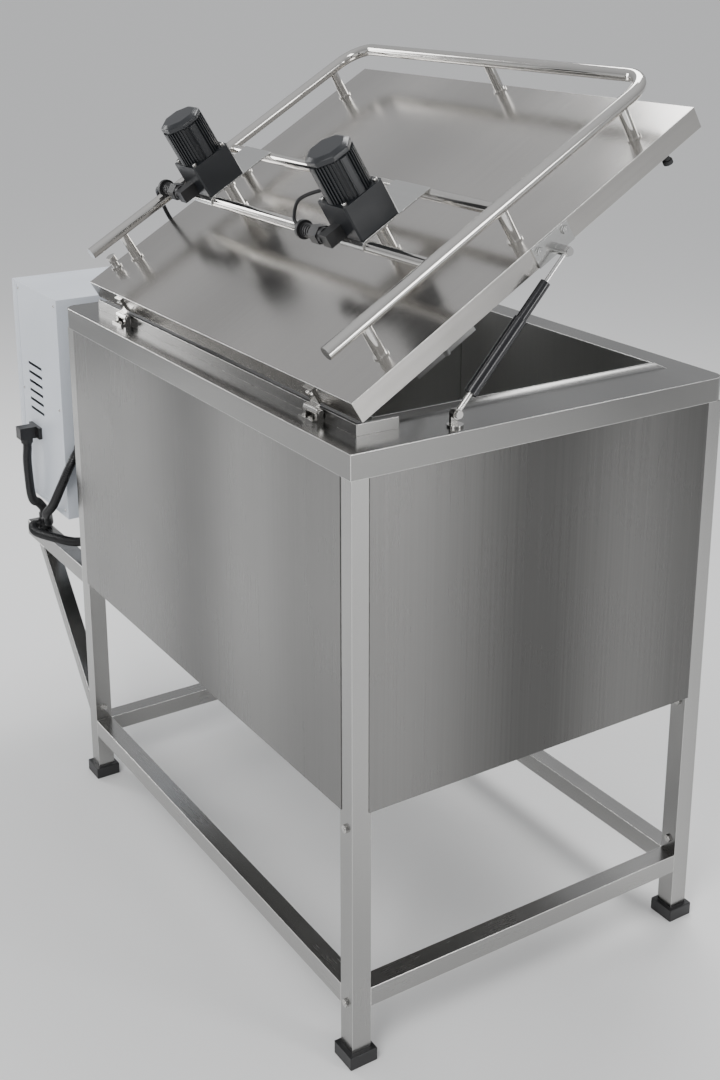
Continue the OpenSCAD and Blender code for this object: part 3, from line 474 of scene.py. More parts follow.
LID_LEAN = math.radians(30.9)
FINISHES: dict[str, BrushedSteel | PolishedSteel | Coating] = {
    # The stainless parts share one steel, but its base colour is set part by part: darker on the cladding, rim and
    # frame, lighter on the lid, plates and vessel. These steps are painted shade on the upright sides and painted
    # light on the lid and in the vessel.
    "frame_steel": BrushedSteel(colour=(0.36, 0.357, 0.35), roughness=0.24, grain=Grain.ALONG_Z),
    "frame_steel_long": BrushedSteel(colour=(0.34, 0.337, 0.33), roughness=0.24, grain=Grain.ALONG_X),
    "frame_steel_cross": BrushedSteel(colour=(0.34, 0.337, 0.33), roughness=0.24, grain=Grain.ALONG_Y),
    # The cladding's large amplitude paints broad lighter and darker reflection bands on the panels, and its shift
    # places the lighter one.
    "cladding": BrushedSteel(colour=(0.17, 0.168, 0.164), roughness=0.27, grain=Grain.ALONG_Z, painted_reflection_band=0.5,
                             shift=(0.1, -0.1, 0.0)),
    "rim_steel": BrushedSteel(colour=(0.27, 0.268, 0.262), roughness=0.2, grain=Grain.ALONG_X, painted_reflection_band=0.15),
    "lid_steel": BrushedSteel(colour=(0.52, 0.505, 0.485), roughness=0.2, grain=Grain.ALONG_Y, lean=LID_LEAN,
                              painted_reflection_band=0.22),
    "vessel_steel": BrushedSteel(colour=(0.62, 0.62, 0.61), roughness=0.33, grain=Grain.ALONG_Z),
    "plate_steel": BrushedSteel(colour=(0.6, 0.6, 0.59), roughness=0.16, grain=Grain.ALONG_X, lean=LID_LEAN),
    # A light steel for the rounded edges of the frame, rim and lid: a painted highlight along each edge.
    "painted_edge_highlight": PolishedSteel(colour=(0.86, 0.85, 0.83), roughness=0.24),
    "aluminium_fins": BrushedSteel(colour=(0.7, 0.7, 0.72), roughness=0.35, grain=Grain.ALONG_Z),
    "polished_tube": PolishedSteel(colour=(0.66, 0.645, 0.62), roughness=0.07),
    "fixings": PolishedSteel(colour=(0.6, 0.59, 0.57), roughness=0.14),
    "strut_rod": PolishedSteel(colour=(0.68, 0.67, 0.66), roughness=0.08),
    "lock_metal": PolishedSteel(colour=(0.35, 0.35, 0.37), roughness=0.2),
    "cabinet_paint": Coating(colour=(0.68, 0.72, 0.78), roughness=0.36, texture_scale=420.0, bump=0.08, wear=0.02),
    "box_grey": Coating(colour=(0.55, 0.57, 0.6), roughness=0.4),
    "motor_black": Coating(colour=(0.008, 0.0095, 0.012), roughness=0.34, texture_scale=800.0, bump=0.2, wear=0.012),
    "cover_black": Coating(colour=(0.01, 0.0115, 0.0145), roughness=0.3, texture_scale=900.0, bump=0.15, wear=0.014),
    "machine_black": Coating(colour=(0.012, 0.013, 0.015), roughness=0.32, wear=0.01),
    "black_plastic": Coating(colour=(0.008, 0.008, 0.009), roughness=0.42, texture_scale=1200.0, wear=0.008),
    "conduit_black": Coating(colour=(0.007, 0.007, 0.008), roughness=0.3, texture_scale=900.0, wear=0.006),
    "lead_black": Coating(colour=(0.007, 0.007, 0.008), roughness=0.4, texture_scale=900.0, wear=0.005),
    "rubber_black": Coating(colour=(0.012, 0.012, 0.013), roughness=0.6, texture_scale=1500.0, bump=0.3, wear=0.008),
    "strut_black": Coating(colour=(0.004, 0.004, 0.006), roughness=0.22, texture_scale=600.0, bump=0.02, coat=0.15,
                           wear=0.004),
    "foam": Coating(colour=(0.8, 0.7, 0.4), roughness=0.9, texture_scale=300.0, bump=0.5),
}
GRAIN_OVERRIDES: dict[str, str] = {
    "long_stretchers": "frame_steel_long",
    "bracket_arms": "frame_steel_long",
    "short_stretchers": "frame_steel_cross",
    "cabinet_rails": "frame_steel_cross",
}


class Paintshop:
    """Makes each finish once and hands it out by name."""

    def __init__(self) -> None:
        """Builds the shared groups and every finish."""
        self.effects = SharedEffects()
        self.made = {name: finish.build(name, self.effects) for name, finish in FINISHES.items()}

    def for_node(self, node: str) -> bpy.types.Material:
        """Returns the material of a CAD node.

        Args:
            node: The CAD node's name.

        Returns:
            The material.
        """
        return self.made[GRAIN_OVERRIDES.get(node, SLOT_OF[node])]

    def dress_nodes(self) -> None:
        """Gives every CAD node its finish."""
        for name, obj in NODES.items():
            obj.data.materials.clear()
            obj.data.materials.append(self.for_node(name))


# ---------------------------------------------------------------------------
# Meshes and Geometry Nodes
# ---------------------------------------------------------------------------


def piece_from(name: str, mesh: bpy.types.Mesh, material: bpy.types.Material | None = None) -> bpy.types.Object:
    """Puts a mesh in a new object at the origin.

    Args:
        name: The object's name.
        mesh: Its mesh.
        material: The finish, or None to keep the mesh's own.

    Returns:
        The object.
    """
    obj = bpy.data.objects.new(name, mesh)
    bpy.context.scene.collection.objects.link(obj)
    if material is not None:
        mesh.materials.clear()
        mesh.materials.append(material)
    return obj


def baked(obj: bpy.types.Object) -> bpy.types.Mesh:
    """Returns the object's mesh with its modifiers applied, and removes the object.

    Args:
        obj: An object with its modifiers set.

    Returns:
        The mesh.
    """
    depsgraph = bpy.context.evaluated_depsgraph_get()
    mesh = bpy.data.meshes.new_from_object(obj.evaluated_get(depsgraph), depsgraph=depsgraph)
    bpy.data.objects.remove(obj)
    return mesh


def attach(obj: bpy.types.Object, body: str, nodes: Iterable[str] = ()) -> bpy.types.Object:
    """Makes a piece ride on its body and stands it in for CAD nodes.

    Args:
        obj: The piece.
        body: The body that it moves with.
        nodes: CAD nodes that it replaces.

    Returns:
        The piece.
    """
    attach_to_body(obj, body)
    if nodes:
        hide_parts(*nodes)
    LOG.info("%s: %d faces, rides on %s", obj.name, len(obj.data.polygons), body)
    return obj


def smooth(mesh: bpy.types.Mesh, on: bool = True) -> None:
    """Sets every face of a mesh smooth or flat.

    Args:
        mesh: The mesh.
        on: True for smooth.
    """
    mesh.polygons.foreach_set("use_smooth", [on] * len(mesh.polygons))


def settle_normals(mesh: bpy.types.Mesh) -> None:
    """Gives each corner point the direction of the broad faces round it, so flat sheet shades flat.

    Args:
        mesh: A mesh whose sharp edges are already rounded.
    """
    directions = [Vector((0.0, 0.0, 0.0)) for _ in mesh.vertices]
    for face in mesh.polygons:
        weighted = face.normal * (face.area ** 1.5)
        for index in face.vertices:
            directions[index] += weighted
    mesh.normals_split_custom_set_from_vertices([d.normalized() if d.length > 0 else Vector((0, 0, 1))
                                                 for d in directions])


class EdgeSoftener:
    """Stands in for CAD nodes with copies whose sharp edges are rounded as folded and ground metal is."""

    MERGE = 2e-6
    FLAT = math.radians(0.5)
    SHARP = math.radians(34)

    def __init__(self, paint: Paintshop) -> None:
        """Keeps the finishes.

        Args:
            paint: Where the materials come from.
        """
        self.paint = paint

    def soften(self, node: str, width: float, segments: int = 2, edge: str | None = None) -> bpy.types.Object:
        """Copies a node, merges its triangles, bevels its sharp edges and replaces it.

        Args:
            node: The CAD node.
            width: Bevel width in metres.
            segments: Bevel segments.
            edge: Finish of the rounded edges, a lighter steel that paints a highlight along them.

        Returns:
            The new piece.
        """
        shape = bmesh.new()
        shape.from_mesh(NODES[node].data)
        bmesh.ops.remove_doubles(shape, verts=shape.verts, dist=self.MERGE)
        bmesh.ops.dissolve_limit(shape, angle_limit=self.FLAT, verts=shape.verts, edges=shape.edges)
        mesh = to_mesh(shape, node + "_draft", True)
        draft = piece_from(node + "_draft", mesh)
        bevel = draft.modifiers.new("edges", "BEVEL")
        bevel.width = width
        bevel.segments = segments
        bevel.limit_method = "ANGLE"
        bevel.angle_limit = self.SHARP
        bevel.use_clamp_overlap = True
        # The bevel faces get the second slot when one is given: the painted edge highlight.
        bevel.material = 1 if edge else -1
        mesh.materials.append(self.paint.for_node(node))
        if edge:
            mesh.materials.append(self.paint.made[edge])
        mesh = baked(draft)
        settle_normals(mesh)
        finished = piece_from(node + "_finish", mesh)
        return attach(finished, BODY_OF[node], [node])


class GeoGraph:
    """A Geometry Nodes tree with named inputs, built in code."""

    def __init__(self, name: str, inputs: Sequence[tuple[str, str, object]]) -> None:
        """Makes the tree and its sockets.

        Args:
            name: The tree's name.
            inputs: Name, socket type and default of each named input.
        """
        self.tree = bpy.data.node_groups.new(name, "GeometryNodeTree")
        self.tree.interface.new_socket("Geometry", in_out="INPUT", socket_type="NodeSocketGeometry")
        self.tree.interface.new_socket("Geometry", in_out="OUTPUT", socket_type="NodeSocketGeometry")
        self.keys: dict[str, str] = {}
        for label, kind, default in inputs:
            socket = self.tree.interface.new_socket(label, in_out="INPUT", socket_type=kind)
            if default is not None:
                socket.default_value = default
            self.keys[label] = socket.identifier
        socket = self.tree.interface.new_socket("Finish", in_out="INPUT", socket_type="NodeSocketMaterial")
        self.keys["Finish"] = socket.identifier
        self.start = self.tree.nodes.new("NodeGroupInput")
        self.end = self.tree.nodes.new("NodeGroupOutput")

    def add(self, kind: str, links: dict[str, object] | None = None, **settings: object) -> bpy.types.Node:
        """Adds a node, sets its attributes and feeds its inputs.

        Args:
            kind: Blender's node type name.
            links: Input name to an output socket or a plain value.
            **settings: Attributes of the node.

        Returns:
            The new node.
        """
        node = self.tree.nodes.new(kind)
        for key, value in settings.items():
            setattr(node, key, value)
        for key, value in (links or {}).items():
            if isinstance(value, bpy.types.NodeSocket):
                self.tree.links.new(value, node.inputs[key])
            else:
                node.inputs[key].default_value = value
        return node

    def close(self, geometry: bpy.types.NodeSocket) -> None:
        """Ends the tree in Realize Instances and Set Material.

        Args:
            geometry: What the tree has made.
        """
        real = self.add("GeometryNodeRealizeInstances", {"Geometry": geometry})
        painted = self.add("GeometryNodeSetMaterial", {"Geometry": real.outputs[0],
                                                       "Material": self.start.outputs["Finish"]})
        self.tree.links.new(painted.outputs[0], self.end.inputs[0])

    def grow(self, name: str, base: bpy.types.Object, finish: bpy.types.Material, **values: object) -> bpy.types.Mesh:
        """Runs the tree on an object and returns the plain mesh.

        Args:
            name: Name for the result.
            base: The object whose geometry goes in; it is removed.
            finish: The material.
            **values: Input values, with underscores for spaces.

        Returns:
            The resulting mesh.
        """
        modifier = base.modifiers.new(name, "NODES")
        modifier.node_group = self.tree
        modifier[self.keys["Finish"]] = finish
        for key, value in values.items():
            modifier[self.keys[key.replace("_", " ")]] = value
        mesh = baked(base)
        mesh.name = name
        return mesh


class Patterns:
    """The Geometry Nodes trees that the sub-assemblies share."""

    def __init__(self) -> None:
        """Builds the trees once."""
        self.scatter = self._scatter()
        self.ribbed = self._ribbed()
        self.fins = self._fins()

    def _scatter(self) -> GeoGraph:
        """One part on every point of the input, turned alike.

        Returns:
            The tree.
        """
        graph = GeoGraph("part_on_points", [("Part", "NodeSocketObject", None), ("Size", "NodeSocketFloat", 1.0)])
        part = graph.add("GeometryNodeObjectInfo", {"Object": graph.start.outputs["Part"]},
                         transform_space="ORIGINAL")
        points = graph.add("GeometryNodeInstanceOnPoints", {
            "Points": graph.start.outputs["Geometry"], "Instance": part.outputs["Geometry"],
            "Scale": graph.start.outputs["Size"]})
        graph.close(points.outputs[0])
        return graph

    def _ribbed(self) -> GeoGraph:
        """A ribbed hose along a curve.

        Returns:
            The tree.
        """
        graph = GeoGraph("ribbed_hose", [("Radius", "NodeSocketFloat", 0.01), ("Rib", "NodeSocketFloat", 0.001),
                                         ("Pitch", "NodeSocketFloat", 0.004)])
        path = graph.start.outputs["Geometry"]
        core_radius = graph.add("ShaderNodeMath", {0: graph.start.outputs["Radius"],
                                                   1: graph.start.outputs["Rib"]}, operation="SUBTRACT")
        core = graph.add("GeometryNodeCurvePrimitiveCircle", {"Resolution": 20, "Radius": core_radius.outputs[0]})
        tube = graph.add("GeometryNodeCurveToMesh", {"Curve": path, "Profile Curve": core.outputs[0],
                                                     "Fill Caps": True})
        ring = graph.add("GeometryNodeCurvePrimitiveCircle", {"Resolution": 20, "Radius": core_radius.outputs[0]})
        bead = graph.add("GeometryNodeCurvePrimitiveCircle", {"Resolution": 8, "Radius": graph.start.outputs["Rib"]})
        hoop = graph.add("GeometryNodeCurveToMesh", {"Curve": ring.outputs[0], "Profile Curve": bead.outputs[0]})
        points = graph.add("GeometryNodeResampleCurve", {"Curve": path, "Length": graph.start.outputs["Pitch"]},
                           mode="LENGTH")
        tangent = graph.add("GeometryNodeInputTangent")
        turn = graph.add("FunctionNodeAlignRotationToVector", {"Vector": tangent.outputs[0]}, axis="Z")
        hoops = graph.add("GeometryNodeInstanceOnPoints", {"Points": points.outputs[0], "Instance": hoop.outputs[0],
                                                           "Rotation": turn.outputs[0]})
        both = graph.add("GeometryNodeJoinGeometry")
        graph.tree.links.new(tube.outputs[0], both.inputs[0])
        graph.tree.links.new(hoops.outputs[0], both.inputs[0])
        shaded = graph.add("GeometryNodeSetShadeSmooth", {"Geometry": both.outputs[0]})
        graph.close(shaded.outputs[0])
        return graph

    def _fins(self) -> GeoGraph:
        """A round core with a straight cooling fin at every point of the input.

        Returns:
            The tree.
        """
        graph = GeoGraph("cooling_fins", [("Core", "NodeSocketFloat", 0.04),
                                          ("Fin", "NodeSocketVector", (0.004, 0.002, 0.07)),
                                          ("Height", "NodeSocketFloat", 0.07)])
        half = graph.add("ShaderNodeMath", {0: graph.start.outputs["Height"], 1: 0.5}, operation="MULTIPLY")
        lift = graph.add("ShaderNodeCombineXYZ", {"Z": half.outputs[0]})
        core = graph.add("GeometryNodeMeshCylinder", {"Vertices": 72, "Radius": graph.start.outputs["Core"],
                                                      "Depth": graph.start.outputs["Height"]})
        place = graph.add("GeometryNodeInputPosition")
        turn = graph.add("FunctionNodeAlignRotationToVector", {"Vector": place.outputs[0]}, axis="X")
        blade = graph.add("GeometryNodeMeshCube", {"Size": graph.start.outputs["Fin"]})
        blades = graph.add("GeometryNodeInstanceOnPoints", {"Points": graph.start.outputs["Geometry"],
                                                            "Instance": blade.outputs[0],
                                                            "Rotation": turn.outputs[0]})
        both = graph.add("GeometryNodeJoinGeometry")
        graph.tree.links.new(core.outputs[0], both.inputs[0])
        graph.tree.links.new(blades.outputs[0], both.inputs[0])
        raised = graph.add("GeometryNodeTransform", {"Geometry": both.outputs[0], "Translation": lift.outputs[0]})
        graph.close(raised.outputs[0])
        return graph


def point_cloud(points: Sequence[Point]) -> bpy.types.Object:
    """Returns an object that holds only loose points.

    Args:
        points: Points in order.

    Returns:
        The object.
    """
    mesh = bpy.data.meshes.new("points")
    mesh.from_pydata(list(points), [], [])
    return piece_from("points", mesh)


def path_curve(points: Sequence[Vector]) -> bpy.types.Object:
    """Returns a curve object with one poly line through the points.

    Args:
        points: Points in order.

    Returns:
        The object.
    """
    data = bpy.data.curves.new("path", "CURVE")
    data.dimensions = "3D"
    line = data.splines.new("POLY")
    line.points.add(len(points) - 1)
    for slot, place in zip(line.points, points):
        slot.co = (*place, 1.0)
    obj = bpy.data.objects.new("path", data)
    bpy.context.scene.collection.objects.link(obj)
    return obj


def smooth_route(points: Sequence[Vector], steps: int = 8) -> list[Vector]:
    """Runs a smooth curve through the points, straight over its first and last stretch.

    Args:
        points: The route's own points.
        steps: Stretches between two points.

    Returns:
        The finer route.
    """
    last = len(points) - 1
    route: list[Vector] = []
    for i in range(last):
        b, c = points[i], points[i + 1]
        if i in (0, last - 1):
            route.append(b)
            continue
        a, d = points[i - 1], points[i + 2]
        for s in range(steps):
            t = s / steps
            route.append(0.5 * (2 * b + (c - a) * t + (2 * a - 5 * b + 4 * c - d) * t * t
                                + (3 * b - a - 3 * c + d) * t**3))
    return route + [points[-1]]


def revolved(profile: Sequence[tuple[float, float]], sides: int = 32) -> bmesh.types.BMesh:
    """Turns a closed profile of radius and height about Z.

    Args:
        profile: Points from the axis at the bottom to the axis at the top.
        sides: Facets round the axis.

    Returns:
        The closed shape.
    """
    shape = bmesh.new()
    rings: list[list[bmesh.types.BMVert]] = []
    for radius, height in profile:
        if radius < 1e-7:
            rings.append([shape.verts.new((0, 0, height))])
            continue
        rings.append([shape.verts.new((radius * math.cos(2 * math.pi * k / sides),
                                       radius * math.sin(2 * math.pi * k / sides), height)) for k in range(sides)])
    for low, high in zip(rings, rings[1:]):
        for k in range(sides):
            n = (k + 1) % sides
            corners = [low[k % len(low)], low[n % len(low)], high[n % len(high)], high[k % len(high)]]
            shape.faces.new(list(dict.fromkeys(corners)))
    bmesh.ops.recalc_face_normals(shape, faces=shape.faces)
    return shape


def to_mesh(shape: bmesh.types.BMesh, name: str, smooth_faces: bool = False) -> bpy.types.Mesh:
    """Turns a bmesh into a mesh and frees it.

    Args:
        shape: The shape; it is freed.
        name: Name of the result.
        smooth_faces: Whether its faces shade smoothly.

    Returns:
        The mesh.
    """
    mesh = bpy.data.meshes.new(name)
    shape.to_mesh(mesh)
    shape.free()
    smooth(mesh, smooth_faces)
    return mesh


def prism(shape: bmesh.types.BMesh, low: Sequence[Vector], high: Sequence[Vector]) -> None:
    """Adds a closed prism between two outlines.

    Args:
        shape: The mesh that grows.
        low: The first outline.
        high: The second outline, point for point.
    """
    rings = [[shape.verts.new(place) for place in ring] for ring in (low, high)]
    faces = [shape.faces.new(ring) for ring in rings]
    for k in range(len(low)):
        n = (k + 1) % len(low)
        faces.append(shape.faces.new((rings[0][k], rings[0][n], rings[1][n], rings[1][k])))
    bmesh.ops.recalc_face_normals(shape, faces=faces)


def round_tube(route: Sequence[Vector], diameter: float, resolution: int = 7) -> bpy.types.Mesh:
    """Returns a closed round tube along a route, smooth round its side and flat at its ends.

    Args:
        route: Middle line of the tube.
        diameter: Its diameter in metres.
        resolution: Fineness of its section.

    Returns:
        The mesh.
    """
    curve = path_curve(route)
    curve.data.bevel_depth = diameter / 2
    curve.data.bevel_resolution = resolution
    curve.data.use_fill_caps = True
    mesh = baked(curve)
    for face in mesh.polygons:
        face.use_smooth = len(face.vertices) < 5
    return mesh


def joint(name: str) -> dict:
    """Returns a joint of the frame.

    Args:
        name: The joint's name.

    Returns:
        Its entry.
    """
    return next(entry for entry in frame["joints"] if entry["name"] == name)


# ---------------------------------------------------------------------------
# Sub-assemblies
# ---------------------------------------------------------------------------

DRIVE_STATIONS = (297.0, 868.0)
DRIVE_BASE = 116.2


@dataclass
class LidFrame:
    """Where the open lid stands: its own coordinates run from its near rear bottom corner."""

    opening: float = 30.9
    corner_behind_axis: float = -13 * MM
    corner_above_axis: float = 7 * MM
    thickness: float = 41 * MM
    matrix: Matrix = field(init=False)

    def __post_init__(self) -> None:
        """Works out the matrix from the hinge joint and the lid's near end."""
        _, axis_y, axis_z = joint("lid_hinge")["pos_m"]
        near_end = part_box("lid_shell")[0].x
        self.matrix = (Matrix.Translation((near_end, axis_y, axis_z))
                       @ Matrix.Rotation(math.radians(-self.opening), 4, "X")
                       @ Matrix.Translation((0, self.corner_behind_axis, self.corner_above_axis)))

    def at(self, along: float, depth: float, height: float) -> Matrix:
        """Returns the matrix of a place on the lid, from distances in metres.

        Args:
            along: Distance from the near end, in metres.
            depth: Distance from the rear edge, in metres.
            height: Distance above the lid's underside, in metres.

        Returns:
            The matrix.
        """
        return self.matrix @ Matrix.Translation((along, -depth, height))


@dataclass
class Conduits:
    """Ribbed black conduits between the cabinet, the bracket arm and the tank's end."""

    diameter: float = 22 * MM
    rib: float = 1.6 * MM
    pitch: float = 5.0 * MM

    def routes(self) -> list[list[Vector]]:
        """Returns the three routes, counted from the fittings that hold them.

        Returns:
            The middle line of each.
        """
        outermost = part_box("conduit_glands")[1].y
        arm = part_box("bracket_arms")
        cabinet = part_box("cabinet_shell")
        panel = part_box("panel_far_end")
        wall = Vector((cabinet[0].x + 174 * MM, outermost - 20 * MM, cabinet[0].z + 144 * MM))
        end = Vector((cabinet[0].x + 214 * MM, arm[1].y - 19 * MM, arm[1].z + 38 * MM))
        back = Vector((cabinet[0].x, cabinet[1].y - 34 * MM, cabinet[0].z + 172 * MM))
        link = Vector((panel[1].x, arm[1].y - 60 * MM, arm[1].z + 52 * MM))

        def off(base: Vector, *steps: Point) -> list[Vector]:
            """Returns places counted from a base, in millimetres.

            Args:
                base: Where the distances start.
                *steps: Distances in millimetres.

            Returns:
                The places.
            """
            return [base + Vector(s) * MM for s in steps]

        front = off(wall, (0, 0, 0), (0, 0, -12), (2, 2, -44), (7, -1, -92), (14, -6, -134), (20, -14, -156))
        front += off(end, (-3, 14, 30), (0, 0, 10), (0, 0, 0))
        rear = off(back, (0, 0, 0), (-9, 0, 0), (-20, 20, -18), (-22, 38, -46), (-12, 56, -92), (16, 64, -136),
                   (66, 62, -172))
        rear += off(end, (-86, 22, 22), (-50, 8, -6), (-28, 0, -14), (-17, 0, -14))
        low = off(link, (0, 0, 0), (10, 0, 0), (32, 14, -8), (74, 44, -20), (130, 66, -26))
        low += off(end, (-50, 38, -28), (-14, 36, -26), (0, 26, -26), (0, 17, -26))
        return [front, rear, low]

    def build(self, paint: Paintshop, patterns: Patterns) -> None:
        """Grows the ribbed hoses and replaces the plain ones.

        Args:
            paint: Where the finishes come from.
            patterns: The shared Geometry Nodes trees.
        """
        shape = bmesh.new()
        for route in self.routes():
            mesh = patterns.ribbed.grow("hose", path_curve(smooth_route(route)), paint.made["conduit_black"],
                                        Radius=self.diameter / 2, Rib=self.rib, Pitch=self.pitch)
            shape.from_mesh(mesh)
        piece = piece_from("ribbed_conduits", to_mesh(shape, "ribbed_conduits", True), paint.made["conduit_black"])
        attach(piece, "tank", ["conduits"])


@dataclass
class MotorLeads:
    """Round black leads from the gland behind each gearbox."""

    near_diameter: float = 7 * MM
    far_diameter: float = 9 * MM
    resolution: int = 5
    gland_along: float = 108.0
    gland_depth: float = 233.0
    gland_rise: float = 16.0
    plug_along: float = 51.0
    plug_depth: float = 291.0
    plug_rise: float = 55.0
    bumper_along: float = 1052.0
    over_tubes: float = 129.0

    def routes(self) -> tuple[list[Vector], list[Vector]]:
        """Returns both routes in the lid's coordinates, in millimetres, from the gland to the far end.

        Returns:
            The near lead's points and the far lead's points.
        """
        near_start, far_start = (Vector((u + self.gland_along, -self.gland_depth, DRIVE_BASE + self.gland_rise))
                                 for u in DRIVE_STATIONS)
        near_end = Vector((DRIVE_STATIONS[0] + self.plug_along, -self.plug_depth, DRIVE_BASE + self.plug_rise))
        far_end = Vector((self.bumper_along, -self.gland_depth, 21))
        near = [near_start + Vector(s) for s in ((0, 0, 0), (5, 0, 0), (14, 0, 4), (22, -6, 20), (8, -26, 46))]
        near += [near_end + Vector(s) for s in ((30, -2, 8), (8, 0, 0), (0, 0, 0))]
        far = [far_start + Vector(s) for s in ((0, 0, 0), (2, 0, 0))]
        far += [Vector((x, -self.gland_depth, z)) for x, z in (
            (988, self.over_tubes), (1002, self.over_tubes), (1038, self.over_tubes - 16), (1058, 65))]
        far += [far_end + Vector(s) for s in ((11, 0, 22), (9, 0, 5), (5, 0, 0), (0, 0, 0))]
        return near, far

    def build(self, lid: LidFrame, paint: Paintshop) -> None:
        """Runs both leads and replaces the plain ones.

        Args:
            lid: Where the lid stands.
            paint: Where the finishes come from.
        """
        near, far = self.routes()
        shape = bmesh.new()
        for route, diameter in ((near, self.near_diameter), (far, self.far_diameter)):
            places = [lid.matrix @ (p * MM) for p in smooth_route(route)]
            shape.from_mesh(round_tube(places, diameter, self.resolution))
        piece = piece_from("round_motor_leads", to_mesh(shape, "round_motor_leads", True), paint.made["lead_black"])
        attach(piece, "lid", ["motor_leads"])


@dataclass
class Drives:
    """Gearmotors on the lid: finned motor bodies and the screws on their gearboxes."""

    depth: float = 301 * MM
    gear_height: float = 70 * MM
    gear_width: float = 90 * MM
    motor_radius: float = 44 * MM
    motor_height: float = 76 * MM
    core_inset: float = 4 * MM
    fins: int = 40
    fin_depth: float = 7.6 * MM
    fin_thickness: float = 2.2 * MM
    fin_margin: float = 1 * MM
    screw_inset: float = 9 * MM

    def screw(self) -> bpy.types.Object:
        """Returns a cap screw with a six-sided socket.

        Returns:
            The object.
        """
        head = revolved([(0, 2.4 * MM), (2.5 * MM, 2.4 * MM), (2.5 * MM, 5.6 * MM), (4.2 * MM, 5.6 * MM),
                         (4.7 * MM, 5.0 * MM), (4.7 * MM, -0.4 * MM), (0, -0.4 * MM)], 24)
        return piece_from("cap_screw", to_mesh(head, "cap_screw"))

    def side_panel(self, shape: bmesh.types.BMesh, turn: Matrix) -> None:
        """Adds one of the plain flat panels between the groups of fins.

        Args:
            shape: The mesh that grows.
            turn: Which side it stands on.
        """
        half, inner, outer = 7.0 * MM, self.motor_radius - 8 * MM, self.motor_radius - 0.3 * MM
        low, high = 1.0 * MM, self.motor_height - 1.0 * MM
        plan = [(inner, -half), (outer - 1.2 * MM, -half), (outer, -half + 2 * MM), (outer, half - 2 * MM),
                (outer - 1.2 * MM, half), (inner, half)]
        prism(shape, *([turn @ Vector((x, y, z)) for x, y in plan] for z in (low, high)))

    def build(self, lid: LidFrame, paint: Paintshop, patterns: Patterns) -> None:
        """Grows the fins and sets the screws.

        Args:
            lid: Where the lid stands.
            paint: Where the finishes come from.
            patterns: The shared Geometry Nodes trees.
        """
        for label, along in zip(("near", "far"), DRIVE_STATIONS):
            stand = lid.at(along * MM, self.depth, DRIVE_BASE * MM + self.gear_height)
            core = self.motor_radius - self.core_inset
            around = [2 * math.pi * k / self.fins for k in range(self.fins)]
            feet = [(core * math.cos(a), core * math.sin(a), 0.0) for a in around if abs(math.sin(a * 2)) > 0.3]
            body = patterns.fins.grow("fins", point_cloud(feet), paint.made["motor_black"],
                                      Core=core, Height=self.motor_height,
                                      Fin=(self.fin_depth, self.fin_thickness,
                                           self.motor_height - self.fin_margin))
            shape = bmesh.new()
            shape.from_mesh(body)
            for quarter in range(4):
                self.side_panel(shape, Matrix.Rotation(quarter * math.pi / 2, 4, "Z"))
            body = to_mesh(shape, "finned_motor")
            body.transform(stand)
            motor = piece_from(f"finned_motor_{label}", body, paint.made["motor_black"])
            attach(motor, "lid", [f"motor_{label}"])
            edge = self.gear_width / 2 - self.screw_inset
            corners = [(x, y, 0.0) for x in (-edge, edge) for y in (-edge, edge)]
            part = self.screw()
            heads = patterns.scatter.grow("screws", point_cloud(corners), paint.made["fixings"], Part=part, Size=1.0)
            bpy.data.objects.remove(part)
            heads.transform(stand)
            attach(piece_from(f"gearbox_screws_{label}", heads), "lid")


@dataclass
class LidTubes:
    """The bent rail round the lid and the two tubes across it."""

    inset: float = 52 * MM
    start: float = 24 * MM
    front: float = 797 * MM
    bend: float = 60 * MM
    rail_diameter: float = 25 * MM
    rail_rise: float = 68 * MM
    cross: tuple[float, float] = (262 * MM, 415 * MM)
    cross_diameter: float = 22 * MM
    cross_rise: float = 61 * MM
    bite: float = 3 * MM
    bend_steps: int = 16

    def rail_route(self, length: float, height: float) -> list[Vector]:
        """Returns the rail's line in the lid's coordinates, with both bends.

        Args:
            length: The lid's length.
            height: Height of the line above the lid's underside.

        Returns:
            The points.
        """
        near, far = self.inset, length - self.inset
        route = [Vector((near, -self.start, height))]
        for centre, first in ((Vector((near + self.bend, -self.front + self.bend, height)), math.pi),
                              (Vector((far - self.bend, -self.front + self.bend, height)), 1.5 * math.pi)):
            for k in range(self.bend_steps + 1):
                angle = first + k * math.pi / (2 * self.bend_steps)
                route.append(centre + Vector((math.cos(angle), math.sin(angle), 0)) * self.bend)
        return route + [Vector((far, -self.start, height))]

    def build(self, lid: LidFrame, paint: Paintshop) -> None:
        """Bends the rail and lays the tubes.

        Args:
            lid: Where the lid stands.
            paint: Where the finishes come from.
        """
        finish = paint.made["polished_tube"]
        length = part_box("lid_shell")[1].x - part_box("lid_shell")[0].x
        rail = round_tube(self.rail_route(length, lid.thickness + self.rail_rise), self.rail_diameter)
        rail.transform(lid.matrix)
        attach(piece_from("bent_rail", rail, finish), "lid", ["lid_rail"])
        shape = bmesh.new()
        reach = self.inset + self.rail_diameter / 2 - self.bite
        for depth in self.cross:
            height = lid.thickness + self.cross_rise
            ends = [Vector((across, -depth, height)) for across in (reach, length - reach)]
            shape.from_mesh(round_tube(ends, self.cross_diameter))
        tubes = to_mesh(shape, "round_cross_tubes", True)
        tubes.transform(lid.matrix)
        attach(piece_from("round_cross_tubes", tubes, finish), "lid", ["cross_tubes"])


